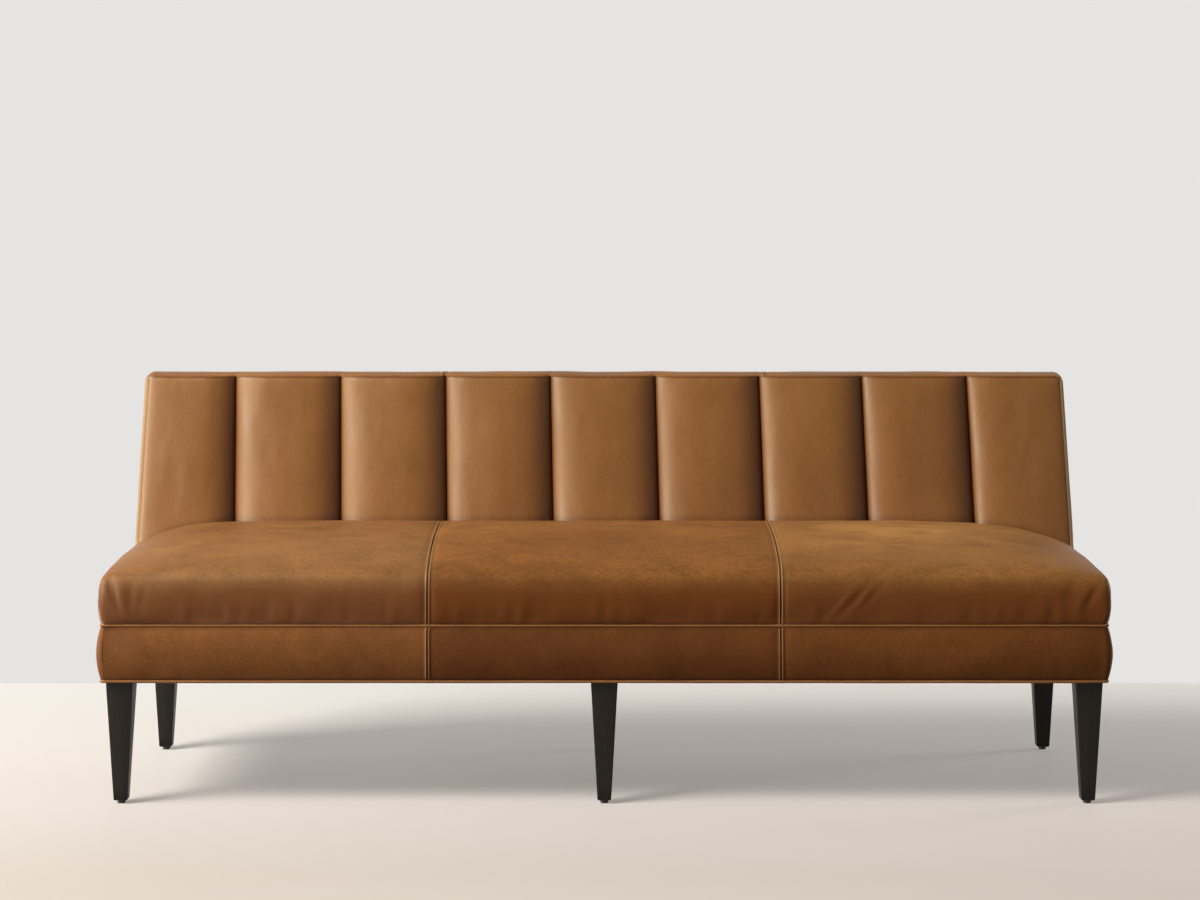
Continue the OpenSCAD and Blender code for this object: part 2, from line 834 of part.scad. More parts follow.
for (k = [0:len(leg_names) - 1]) {
    leg(k);
    glide_pad(k);
    glide_stud(k);
}
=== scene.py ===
"""Looks of an upholstered banquette bench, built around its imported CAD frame.

Every length is in metres, +X runs along the bench, the front faces -Y and Z = 0 is the floor.
Surfaces are grids of points worked out with numpy, padded ones after a cloth simulation.
"""

import logging
import math
from dataclasses import dataclass, field
from enum import Enum
from typing import ClassVar

import bpy
import numpy as np
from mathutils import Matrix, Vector


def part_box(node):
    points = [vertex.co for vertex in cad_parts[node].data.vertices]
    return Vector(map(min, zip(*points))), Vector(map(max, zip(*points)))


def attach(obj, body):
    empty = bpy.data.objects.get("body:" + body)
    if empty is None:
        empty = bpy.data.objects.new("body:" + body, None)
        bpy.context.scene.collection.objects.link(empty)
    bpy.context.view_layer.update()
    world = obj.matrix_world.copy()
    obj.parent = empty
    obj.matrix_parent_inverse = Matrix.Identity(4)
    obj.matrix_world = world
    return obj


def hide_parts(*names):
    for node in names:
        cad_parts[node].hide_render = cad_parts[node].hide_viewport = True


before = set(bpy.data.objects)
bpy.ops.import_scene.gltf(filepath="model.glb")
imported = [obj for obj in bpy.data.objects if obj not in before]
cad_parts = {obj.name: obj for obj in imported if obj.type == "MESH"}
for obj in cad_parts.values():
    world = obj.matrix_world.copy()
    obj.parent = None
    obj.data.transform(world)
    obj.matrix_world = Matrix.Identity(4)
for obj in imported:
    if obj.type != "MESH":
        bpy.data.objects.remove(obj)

LOG = logging.getLogger("banquette")
BODY = "bench"
Array = np.ndarray
Colour = tuple[float, float, float]
Socket = bpy.types.NodeSocket

# Faces that meet at more than this are shaded with an edge between them.
HARD_EDGE = math.radians(70)
# How far beside a seam its stitches run, and how wide its valley and the ridges beside it are, which are lightened
# partly as wear and partly as painted highlight.
STITCH_OFFSET = 0.0034
SEAM_WIDTH = 0.0010
# Distances from a seam at which points lie, before they lie a pitch apart.
SEAM_STEPS = np.array([0.0, 0.0005, 0.0010, 0.0016, 0.0023, 0.0031, 0.0039, 0.0048, 0.0060, 0.0078, 0.0100, 0.0135])


class Section(Enum):
    """One of the three panels that the leather is sewn from along the bench."""

    LEFT = "left"
    CENTER = "center"
    RIGHT = "right"


class Place(Enum):
    """Where a leg and its glide stand."""

    FRONT_LEFT = "front_left"
    FRONT_CENTER = "front_center"
    FRONT_RIGHT = "front_right"
    REAR_LEFT = "rear_left"
    REAR_CENTER = "rear_center"
    REAR_RIGHT = "rear_right"


@dataclass(frozen=True)
class Sizes:
    """The bench's driving sizes, as the CAD frame has them."""

    half_w: float = 1.050
    front_y: float = -0.320
    rear_y: float = 0.325
    frame_x: float = 1.042
    frame_rear_y: float = 0.319
    leg_space: float = 0.256
    rail_z: float = 0.2624
    seat_welt_z: float = 0.376
    cushion_z: float = 0.3795
    edge_h: float = 0.090
    crown_h: float = 0.074
    crown_run: float = 0.110
    side_runs: tuple[float, float] = (0.062, 0.088)
    lean_run: float = 0.060
    side_start: float = 0.04
    side_round: float = 0.025
    front_round: float = 0.040
    seat_lean: float = 0.017
    side_lean: float = 0.0210
    top_depth: float = 0.0727
    corner_r: float = 0.010
    welt_r: float = 0.0032
    seam_x: float = 0.368
    boxing_z: float = 0.862
    boxing_edge_z: float = 0.865
    back_corner_r: float = 0.019
    rake: float = math.radians(13)
    channel_t: float = 0.050
    groove_t: float = 0.020
    channels: int = 9
    end_share: float = 0.83
    gap: float = 0.0003
    flare: float = 0.008
    flare_from: float = 0.86

    @property
    def seat_top_z(self) -> float:
        """Height of the seat's crown."""
        return self.cushion_z + self.edge_h + self.crown_h

    def crown_y(self, z: Array) -> Array:
        """The raked front of the back: a straight line that leans back as it rises."""
        run = (self.channel_t - self.groove_t) / math.cos(self.rake)
        return self.rear_y - self.top_depth - run + (z - self.boxing_z) * math.tan(self.rake)

    @property
    def seat_depth(self) -> float:
        """From the front of the seat to the crowns of the channels, at the seat's height."""
        return self.crown_y(self.seat_top_z) - self.front_y

    def panel_y(self, z: Array) -> Array:
        """Front of the plywood panel: the crown line set back by a channel's thickness."""
        return self.crown_y(z) + self.channel_t / math.cos(self.rake)

    def groove_y(self, z: Array) -> Array:
        """Bottom of the sewn grooves: the panel line set forward by the groove's thickness."""
        return self.panel_y(z) - self.groove_t / math.cos(self.rake)

    def channel_edges(self) -> Array:
        """Sideways places of the grooves: equal channels between two narrower end ones."""
        reach = self.frame_x - self.gap
        width = 2 * reach / (self.channels - 2 + 2 * self.end_share)
        steps = np.concatenate([[0.0], self.end_share + np.arange(self.channels - 1), [2 * reach / width]])
        return steps * width - reach

    def flared(self, x: Array, h: Array) -> Array:
        """Sideways places with the back's two ends spread, more and more from the top to the seat's edge."""
        low = np.clip((self.boxing_z - h) / (self.boxing_z - self.seat_top_z), 0, 1.1)
        low = low * climb(h, self.cushion_z, self.edge_h)
        near = climb(np.abs(x), self.flare_from, self.half_w - self.flare_from)
        return x + np.sign(x) * self.flare * low * near

    def panel_places(self, section: Section, reach: float, pitch: float) -> Array:
        """Sideways places over a panel, half a gap in from its seams and from the reach of the row."""
        spans = {
            Section.LEFT: (-reach, -self.seam_x),
            Section.CENTER: (-self.seam_x, self.seam_x),
            Section.RIGHT: (self.seam_x, reach),
        }
        low, high = spans[section]
        return near_seams(low + self.gap / 2, high - self.gap / 2, pitch)


SIZES = Sizes()


# Mesh helpers


def grid_faces(rows: int, columns: int, closed: bool = False) -> Array:
    """Quads between neighbouring points of a grid, row by row.

    Args:
        rows: Number of rows of points.
        columns: Number of points in a row.
        closed: Whether each row closes on itself.

    Returns:
        One row of four point numbers for each quad.
    """
    r = np.arange(rows - 1)[:, None]
    c = np.arange(columns if closed else columns - 1)[None, :]
    nxt = (c + 1) % columns
    quads = np.stack(
        [r * columns + c, r * columns + nxt, (r + 1) * columns + nxt, (r + 1) * columns + c], axis=-1
    )
    return quads.reshape(-1, 4)


def copies_of(faces: Array, count: int, size: int) -> Array:
    """Faces of one small mesh, repeated for copies of it whose points follow one another."""
    return (faces[None] + np.arange(count)[:, None, None] * size).reshape(-1, faces.shape[-1])


def points_of(*coordinates: Array | float) -> Array:
    """Points from their coordinates, each a grid or one number for all of them."""
    return np.stack(np.broadcast_arrays(*coordinates), axis=-1)


def border(rows: int, columns: int) -> Array:
    """Point numbers once round the edge of a grid."""
    index = np.arange(rows * columns).reshape(rows, columns)
    return np.concatenate([index[0, :-1], index[:-1, -1], index[-1, :0:-1], index[:0:-1, 0]])


def edge_mask(rows: int, columns: int) -> Array:
    """Marks the points round the edge of a grid."""
    held = np.ones((rows, columns), bool)
    held[1:-1, 1:-1] = False
    return held


def normals(points: Array) -> Array:
    """Unit normals of a grid: the cross product of the steps along its rows and columns."""
    along = np.gradient(points, axis=1)
    across = np.gradient(points, axis=0)
    n = np.cross(along, across)
    return n / np.maximum(np.linalg.norm(n, axis=-1, keepdims=True), 1e-9)


def make_object(name: str, points: Array, faces: Array) -> bpy.types.Object:
    """An object at the origin from points and faces, smooth-shaded but for its hard edges.

    Args:
        name: The piece's name.
        points: One row of x, y, z for each point.
        faces: One row of point numbers for each face.

    Returns:
        The new object, with its normals pointing outwards.
    """
    mesh = bpy.data.meshes.new(name)
    mesh.from_pydata(points.reshape(-1, 3).tolist(), [], [list(f) for f in faces])
    mesh.validate()
    mesh.polygons.foreach_set("use_smooth", np.ones(len(mesh.polygons), bool))
    mesh.set_sharp_from_angle(angle=HARD_EDGE)
    mesh.update()
    piece = bpy.data.objects.new(name, mesh)
    bpy.context.scene.collection.objects.link(piece)
    return piece


def shell(name: str, outer: Array, inner: Array) -> bpy.types.Object:
    """A closed solid between two grids of the same size, joined round their edges.

    Args:
        name: The piece's name.
        outer: The grid of the visible side, whose normals point outwards.
        inner: The grid of the hidden side.

    Returns:
        The new object.
    """
    rows, columns = outer.shape[:2]
    faces = grid_faces(rows, columns)
    loop = border(rows, columns)
    nxt = np.roll(loop, -1)
    base = rows * columns
    rim = np.stack([nxt, loop, base + loop, base + nxt], axis=-1)
    points = np.concatenate([outer.reshape(-1, 3), inner.reshape(-1, 3)])
    return make_object(name, points, np.concatenate([faces, base + faces[:, ::-1], rim]))


def set_attribute(piece: bpy.types.Object, name: str, values: Array) -> None:
    """Stores one number for each point, and the same numbers again for a second, hidden grid."""
    count = len(piece.data.vertices)
    flat = np.resize(values.reshape(-1), count).astype(np.float32)
    attribute = piece.data.attributes.new(name, "FLOAT", "POINT")
    attribute.data.foreach_set("value", flat)


def smooth_noise(t: Array, pitch: float, seed: int) -> Array:
    """Soft noise from -1 to 1 along a line: seeded values every pitch, eased between them."""
    count = 4096
    values = np.random.default_rng(seed).uniform(-1, 1, count)
    s = t / pitch + count // 4
    k = np.floor(s).astype(int)
    f = s - k
    f = f * f * (3 - 2 * f)
    return values[k % count] * (1 - f) + values[(k + 1) % count] * f


def noise_2d(a: Array, b: Array, pitch_a: float, pitch_b: float, seed: int) -> Array:
    """Soft noise from -1 to 1 over a surface: seeded values on a lattice, eased both ways."""
    count = 256
    values = np.random.default_rng(seed).uniform(-1, 1, (count, count))
    s, t = a / pitch_a + count // 4, b / pitch_b + count // 4
    i, j = np.floor(s).astype(int), np.floor(t).astype(int)
    f, g = s - i, t - j
    f, g = f * f * (3 - 2 * f), g * g * (3 - 2 * g)
    i, j = i % (count - 1), j % (count - 1)
    low = values[i, j] * (1 - f) + values[i + 1, j] * f
    high = values[i, j + 1] * (1 - f) + values[i + 1, j + 1] * f
    return low * (1 - g) + high * g


def bump(x: Array, width: float) -> Array:
    """A bell of height 1: e to the power of minus the square of x over width."""
    return np.exp(-((x / width) ** 2))


def climb(x: Array, start: float, run: float) -> Array:
    """0 up to a start, then straight up to 1 over a run."""
    return np.clip((x - start) / run, 0, 1)


def eased(steps: int) -> Array:
    """Shares from 0 to 1, closer together at both ends: half of one minus a cosine."""
    return (1 - np.cos(np.linspace(0, math.pi, steps))) / 2


def resample(grid: Array, rows_from: Array, cols_from: Array, rows_to: Array, cols_to: Array) -> Array:
    """A grid of vectors read at other rows and columns, straight between its own."""
    r = np.interp(rows_to, rows_from, np.arange(len(rows_from)))
    c = np.interp(cols_to, cols_from, np.arange(len(cols_from)))
    r0 = np.minimum(r.astype(int), len(rows_from) - 2)
    c0 = np.minimum(c.astype(int), len(cols_from) - 2)
    fr, fc = (r - r0)[:, None, None], (c - c0)[None, :, None]
    low = grid[r0][:, c0] * (1 - fc) + grid[r0][:, c0 + 1] * fc
    high = grid[r0 + 1][:, c0] * (1 - fc) + grid[r0 + 1][:, c0 + 1] * fc
    return low * (1 - fr) + high * fr


@dataclass(frozen=True)
class Cloth:
    """A cloth simulation of leather over its filling, held along its seams."""

    pressure: float = 3.0
    slack: float = 0.012
    cap: float = 0.005
    smooths: int = 3
    frames: int = 20
    stiffness: float = 22.0
    bending: float = 3.0
    mass: float = 0.35
    quality: int = 6

    def relax(self, points: Array, held: Array) -> Array:
        """Inflates a grid of leather and returns how far each of its points moves.

        Args:
            points: The grid at rest, rows by columns by x, y, z.
            held: Whether each point is sewn down, rows by columns.

        Returns:
            The moves as vectors, no longer than the cap, with none into the filling.
        """
        rows, columns = points.shape[:2]
        sheet = make_object("relax", points, grid_faces(rows, columns))
        group = sheet.vertex_groups.new(name="held")
        group.add(np.flatnonzero(held.reshape(-1)).tolist(), 1.0, "REPLACE")
        modifier = sheet.modifiers.new("cloth", "CLOTH")
        cloth = modifier.settings
        cloth.quality = self.quality
        cloth.mass = self.mass
        cloth.tension_stiffness = self.stiffness
        cloth.compression_stiffness = self.stiffness
        cloth.shear_stiffness = self.stiffness / 2
        cloth.bending_stiffness = self.bending
        cloth.use_pressure = True
        cloth.uniform_pressure_force = self.pressure
        cloth.shrink_min = -self.slack
        cloth.vertex_group_mass = "held"
        cloth.effector_weights.gravity = 0.0
        modifier.collision_settings.use_collision = False
        modifier.point_cache.frame_start = 1
        modifier.point_cache.frame_end = self.frames
        scene = bpy.context.scene
        for number in range(1, self.frames + 1):
            scene.frame_set(number)
        graph = bpy.context.evaluated_depsgraph_get()
        moved = np.zeros(rows * columns * 3, np.float32)
        sheet.evaluated_get(graph).data.vertices.foreach_get("co", moved)
        move = moved.reshape(rows, columns, 3).astype(float) - points
        bpy.data.objects.remove(sheet)
        scene.frame_set(1)
        n = normals(points)
        move -= n * np.minimum(np.sum(move * n, axis=-1, keepdims=True), 0)
        length = np.linalg.norm(move, axis=-1, keepdims=True)
        move *= np.tanh(length / self.cap) * self.cap / np.maximum(length, 1e-9)
        for _ in range(self.smooths):
            move[1:-1] = (move[:-2] + 2 * move[1:-1] + move[2:]) / 4
            move[:, 1:-1] = (move[:, :-2] + 2 * move[:, 1:-1] + move[:, 2:]) / 4
        return move * np.where(held, 0.0, 1.0)[..., None]


# Finishes


class Nodes:
    """A material's node tree with short calls to add and join nodes."""

    def __init__(self, name: str) -> None:
        """Starts a material with one Principled shader."""
        self.material = bpy.data.materials.new(name)
        self.material.use_nodes = True
        self.tree = self.material.node_tree
        self.shader = self.tree.nodes["Principled BSDF"]
        self.coordinates = self.add("ShaderNodeTexCoord").outputs["Object"]

    def add(self, kind: str, **settings: object) -> bpy.types.Node:
        """Adds a node and sets its own properties."""
        node = self.tree.nodes.new(kind)
        for key, value in settings.items():
            setattr(node, key, value)
        return node

    def join(self, source: Socket, target: Socket) -> None:
        """Links an output to an input."""
        self.tree.links.new(source, target)

    def stretched(self, scale: tuple[float, float, float]) -> Socket:
        """Object coordinates scaled on each axis."""
        mapping = self.add("ShaderNodeMapping")
        mapping.inputs["Scale"].default_value = scale
        self.join(self.coordinates, mapping.inputs["Vector"])
        return mapping.outputs["Vector"]

    def noise(self, scale: float, detail: float = 4.0, vector: Socket | None = None,
              distortion: float = 0.0, coarse: float = 0.5) -> Socket:
        """A noise pattern over the object coordinates, or another vector."""
        node = self.add("ShaderNodeTexNoise")
        node.inputs["Scale"].default_value = scale
        node.inputs["Detail"].default_value = detail
        node.inputs["Distortion"].default_value = distortion
        node.inputs["Roughness"].default_value = coarse
        self.join(vector or self.coordinates, node.inputs["Vector"])
        return node.outputs["Fac"]

    def ramp(self, value: Socket, low: float, high: float,
             to_low: float = 0.0, to_high: float = 1.0) -> Socket:
        """Maps a value from one range to another, kept inside it."""
        node = self.add("ShaderNodeMapRange", clamp=True)
        node.inputs["From Min"].default_value = low
        node.inputs["From Max"].default_value = high
        node.inputs["To Min"].default_value = to_low
        node.inputs["To Max"].default_value = to_high
        self.join(value, node.inputs["Value"])
        return node.outputs["Result"]

    def attribute(self, name: str) -> Socket:
        """A number that is stored with the piece's points."""
        return self.add("ShaderNodeAttribute", attribute_name=name).outputs["Fac"]

    def colours(self, value: Socket, stops: list[tuple[float, Colour]]) -> Socket:
        """A colour ramp with the given stops."""
        node = self.add("ShaderNodeValToRGB")
        elements = node.color_ramp.elements
        while len(elements) < len(stops):
            elements.new(0.5)
        for element, (position, colour) in zip(elements, stops):
            element.position = position
            element.color = (*colour, 1.0)
        self.join(value, node.inputs["Fac"])
        return node.outputs["Color"]

    def grey(self, value: Socket) -> Socket:
        """A grey colour from one number."""
        node = self.add("ShaderNodeCombineColor")
        for channel in ("Red", "Green", "Blue"):
            self.join(value, node.inputs[channel])
        return node.outputs["Color"]

    def mix(self, share: Socket | float, first: Socket, second: Socket | Colour, blend: str = "MIX") -> Socket:
        """Mixes two colours by a share."""
        node = self.add("ShaderNodeMix", data_type="RGBA", blend_type=blend)
        if isinstance(share, float):
            node.inputs["Factor"].default_value = share
        else:
            self.join(share, node.inputs["Factor"])
        self.join(first, node.inputs[6])
        if isinstance(second, tuple):
            node.inputs[7].default_value = (*second, 1.0)
        else:
            self.join(second, node.inputs[7])
        return node.outputs[2]

    def product(self, value: Socket, factor: Socket | float) -> Socket:
        """A value times a number or another value."""
        node = self.add("ShaderNodeMath", operation="MULTIPLY")
        self.join(value, node.inputs[0])
        if isinstance(factor, float):
            node.inputs[1].default_value = factor
        else:
            self.join(factor, node.inputs[1])
        return node.outputs[0]

    def shaded(self, colour: Socket, pattern: Socket, ends: tuple[float, float], greys: tuple[float, float],
               share: float = 1.0) -> Socket:
        """A colour multiplied by a grey that follows a pattern.

        Args:
            colour: The colour.
            pattern: The pattern.
            ends: The pattern's values where the grey is at its two ends.
            greys: The grey at those ends.
            share: How much of the grey is taken on.

        Returns:
            The shaded colour.
        """
        return self.mix(share, colour, self.grey(self.ramp(pattern, *ends, *greys)), "MULTIPLY")

    def raise_surface(self, heights: list[tuple[Socket, float, float]]) -> None:
        """Chains bumps into the shader: each is a pattern, its strength and its height."""
        previous = None
        for height, strength, distance in heights:
            node = self.add("ShaderNodeBump")
            node.inputs["Strength"].default_value = strength
            node.inputs["Distance"].default_value = distance
            self.join(height, node.inputs["Height"])
            if previous is not None:
                self.join(previous, node.inputs["Normal"])
            previous = node.outputs["Normal"]
        self.join(previous, self.shader.inputs["Normal"])


def scaled(tone: Colour, *factors: float | Colour) -> Colour:
    """A colour times one factor after another, each one number or three."""
    colour = np.array(tone)
    for factor in factors:
        colour = colour * factor
    return tuple(colour.tolist())


@dataclass(frozen=True)
class Leather:
    """Aniline leather: clouded dye, brushed mottling and pebbled grain, with painted shade and painted highlights.

    Painted shade darkens its creases and its front and sides. A paler brushed nap is in places a painted
    sheen. The ridges beside seams are lightened partly as wear and partly as painted highlight, and some
    edges carry more painted highlight. The tints are factors on the tone, and the scales are each
    pattern's repeats for each metre.
    """

    name: str
    tone: Colour
    clouds: float = 0.2
    mottle: float = 0.12
    streaks: tuple[float, float, float] = (1.0, 1.0, 1.0)
    nap_and_sheen: float = 0.0
    roughness: float = 0.46
    gloss: float = 0.30
    wax: Colour = (1.0, 0.87, 0.64)
    painted_shade: float = 0.0

    DARK_TINT: ClassVar[Colour] = (1.0, 0.95, 0.90)
    LIGHT_TINT: ClassVar[Colour] = (1.0, 1.04, 1.05)
    NAP_AND_SHEEN_TINT: ClassVar[Colour] = (1.9, 2.35, 2.7)
    PAINTED_SHADE_TINT: ClassVar[Colour] = (0.70, 0.485, 0.34)
    PAINTED_CREASE_SHADE_TINT: ClassVar[Colour] = (0.29, 0.18, 0.12)
    WEAR_AND_HIGHLIGHT_TINT: ClassVar[Colour] = (2.0, 3.2, 6.4)
    CLOUD_SCALE: ClassVar[float] = 2.4
    BRUSH_SCALE: ClassVar[float] = 11.0
    FIBRE_SCALE: ClassVar[float] = 150.0
    FLECK_SCALE: ClassVar[float] = 330.0
    CELL_SCALE: ClassVar[float] = 520.0

    def build(self) -> bpy.types.Material:
        """Makes the material."""
        n = Nodes(self.name)
        brushed = n.noise(self.BRUSH_SCALE, 9.0, n.stretched(self.streaks), 0.9, 0.62)
        fibre = n.noise(self.FIBRE_SCALE, 3.0, n.stretched(self.streaks), 0.4, 0.6)
        n.join(self.worn(n, self.dyed(n, brushed, fibre), brushed), n.shader.inputs["Base Color"])
        n.join(n.ramp(brushed, 0.3, 0.7, self.roughness - 0.05, self.roughness + 0.09), n.shader.inputs["Roughness"])
        n.shader.inputs["Specular Tint"].default_value = (*self.wax, 1.0)
        n.shader.inputs["Specular IOR Level"].default_value = self.gloss
        n.shader.inputs["Sheen Weight"].default_value = 0.02
        n.shader.inputs["Sheen Roughness"].default_value = 0.45
        cells = n.add("ShaderNodeTexVoronoi", feature="SMOOTH_F1")
        cells.inputs["Scale"].default_value = self.CELL_SCALE
        n.join(n.coordinates, cells.inputs["Vector"])
        n.raise_surface([
            (brushed, 0.16, 0.0020),
            (fibre, 0.14, 0.0006),
            (cells.outputs["Distance"], 0.20, 0.0004),
        ])
        return n.material

    def dyed(self, n: Nodes, brushed: Socket, fibre: Socket) -> Socket:
        """The clouded dye under three mottlings, from coarse to fine."""
        dark = scaled(self.tone, 1 - 0.75 * self.clouds, self.DARK_TINT)
        light = scaled(self.tone, 1 + 0.75 * self.clouds, self.LIGHT_TINT)
        clouds = n.noise(self.CLOUD_SCALE, 4.0, distortion=0.5)
        colour = n.colours(clouds, [(0.30, dark), (0.50, self.tone), (0.70, light)])
        fleck = n.noise(self.FLECK_SCALE, 3.0)
        depths = (self.mottle, 0.8 * self.mottle, 0.03 + 0.4 * self.mottle)
        for pattern, depth in zip((brushed, fibre, fleck), depths):
            colour = n.shaded(colour, pattern, (0.33, 0.67), (1 - depth, 1 + depth))
        return colour

    # Puts painted light on the dye: painted shade, painted highlight, and a nap that is partly a painted sheen.
    def worn(self, n: Nodes, colour: Socket, brushed: Socket) -> Socket:
        """The dye with its brushed nap, partly a painted sheen, its painted shade on the front and sides and in the
        creases, and its ridges and edges lightened partly as wear and partly as painted highlight.
        """
        # A paler brushed nap. On the left seat panel it is a painted sheen towards the front roll.
        if self.nap_and_sheen > 0:
            share = n.product(n.product(n.attribute("nap_and_sheen"), n.ramp(brushed, 0.38, 0.62, 0.55, 1.0)), self.nap_and_sheen)
            colour = n.mix(share, colour, scaled(self.tone, self.NAP_AND_SHEEN_TINT))
        # Painted shade, then painted crease shade, then lightening that is partly wear and partly painted highlight.
        marks = [("painted_shade", self.painted_shade, self.PAINTED_SHADE_TINT)] if self.painted_shade > 0 else []
        marks += [("painted_crease_shade", 0.8, self.PAINTED_CREASE_SHADE_TINT), ("wear_and_highlight", 0.5, self.WEAR_AND_HIGHLIGHT_TINT)]
        for name, strength, tint in marks:
            colour = n.mix(n.product(n.attribute(name), strength), colour, scaled(self.tone, tint))
        return colour


@dataclass(frozen=True)
class Wood:
    """Timber with its grain along one axis, bare or stained."""

    name: str
    tone: Colour
    along: tuple[float, float, float] = (1.0, 14.0, 14.0)
    contrast: float = 0.3
    roughness: float = 0.55
    gloss: float = 0.4

    def build(self) -> bpy.types.Material:
        """Makes the material."""
        n = Nodes(self.name)
        n.shader.inputs["Specular IOR Level"].default_value = self.gloss
        grain_at = n.stretched(self.along)
        rings = n.noise(4.0, 8.0, grain_at, 0.6)
        pores = n.noise(34.0, 4.0, grain_at)
        dark, light = scaled(self.tone, 1 - self.contrast), scaled(self.tone, 1 + self.contrast)
        colour = n.colours(rings, [(0.32, dark), (0.5, self.tone), (0.68, light)])
        n.join(n.shaded(colour, pores, (0.35, 0.6), (0.6, 1.1), 0.6), n.shader.inputs["Base Color"])
        n.join(n.ramp(rings, 0.3, 0.7, self.roughness + 0.06, self.roughness - 0.06), n.shader.inputs["Roughness"])
        n.raise_surface([(pores, 0.25, 0.0004), (rings, 0.15, 0.0008)])
        return n.material


@dataclass(frozen=True)
class Woven:
    """Cloth with crossed threads, or felt and foam when its threads are faint."""

    name: str
    tone: Colour
    pitch: float = 0.0012
    depth: float = 0.4
    roughness: float = 0.9

    # A wave pattern's scale times its wavelength.
    WAVE: ClassVar[float] = 0.314

    def build(self) -> bpy.types.Material:
        """Makes the material."""
        n = Nodes(self.name)
        waves = []
        for direction in ("X", "Y"):
            wave = n.add("ShaderNodeTexWave", bands_direction=direction)
            wave.inputs["Scale"].default_value = self.WAVE / self.pitch
            wave.inputs["Distortion"].default_value = 0.6
            n.join(n.coordinates, wave.inputs["Vector"])
            waves.append(wave.outputs["Fac"])
        weave = n.product(*waves)
        colour = n.colours(weave, [(0.0, scaled(self.tone, 0.7)), (1.0, scaled(self.tone, 1.2))])
        n.join(n.shaded(colour, n.noise(40.0), (0.3, 0.7), (0.8, 1.2), 0.5), n.shader.inputs["Base Color"])
        n.join(n.ramp(n.noise(90.0), 0.3, 0.7, self.roughness - 0.05, self.roughness + 0.05),
               n.shader.inputs["Roughness"])
        n.raise_surface([(weave, self.depth, 0.0004), (n.noise(300.0), 0.2, 0.0003)])
        return n.material


@dataclass(frozen=True)
class Hard:
    """Metal or moulded plastic with a fine worn surface."""

    name: str
    tone: Colour
    metal: float = 0.0
    roughness: float = 0.4
    grain: float = 700.0

    def build(self) -> bpy.types.Material:
        """Makes the material."""
        n = Nodes(self.name)
        wear = n.noise(55.0, 6.0)
        colour = n.colours(wear, [(0.3, scaled(self.tone, 0.82)), (0.7, scaled(self.tone, 1.15))])
        n.join(colour, n.shader.inputs["Base Color"])
        n.shader.inputs["Metallic"].default_value = self.metal
        n.join(n.ramp(wear, 0.3, 0.7, self.roughness - 0.07, self.roughness + 0.07), n.shader.inputs["Roughness"])
        n.raise_surface([(n.noise(self.grain, 3.0), 0.2, 0.0002)])
        return n.material


def dress(piece: bpy.types.Object, material: bpy.types.Material) -> None:
    """Gives a piece or a CAD node one material."""
    piece.data.materials.clear()
    piece.data.materials.append(material)


def settle(piece: bpy.types.Object, material: bpy.types.Material, nodes: tuple[str, ...] = (),
           body: str = BODY) -> None:
    """Dresses a finished piece, lets it ride on its body and reports it.

    Args:
        piece: The finished piece.
        material: Its finish.
        nodes: The CAD nodes that it stands for.
        body: The CAD body that it moves with.
    """
    dress(piece, material)
    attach(piece, body)
    if nodes:
        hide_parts(*nodes)
    LOG.info("%s: %d faces", piece.name, len(piece.data.polygons))


def seam_profile(s: Array) -> Array:
    """Height of leather near a seam with its edges turned back and topstitched on both sides.

    A sharp valley lies in the seam, a ridge runs on each side of it under the stitches, and past
    the turned edge the leather dips a little before it fills out.

    Args:
        s: Distance from the middle of the seam.

    Returns:
        The height over the smooth surface.
    """
    valley = -0.0011 * bump(s, SEAM_WIDTH)
    ridge = 0.0008 * bump(s - STITCH_OFFSET, 0.0016)
    dip = -0.0007 * bump(s - 0.0085, 0.0035)
    return valley + ridge + dip


def near_seams(low: float, high: float, pitch: float) -> Array:
    """Places from low to high, close together at both ends and a pitch apart between them."""
    first, last = low + SEAM_STEPS, high - SEAM_STEPS[::-1]
    count = max(2, int((high - low - 2 * SEAM_STEPS[-1]) / pitch))
    return np.concatenate([first, np.linspace(first[-1], last[0], count + 1)[1:-1], last])


@dataclass(frozen=True)
class Fold:
    """One soft fold in leather, from its start to its end."""

    x: float
    across: float
    slope: float
    width: float
    reach: float
    depth: float

    def height(self, x: Array, s: Array) -> Array:
        """A bell across the fold's line times a bell along it.

        Args:
            x: Place along the bench.
            s: Distance along the surface from the seat welt.

        Returns:
            The height over the smooth surface.
        """
        line = x - self.x - self.slope * (s - self.across)
        return self.depth * bump(line, self.width) * bump(s - self.across, self.reach)


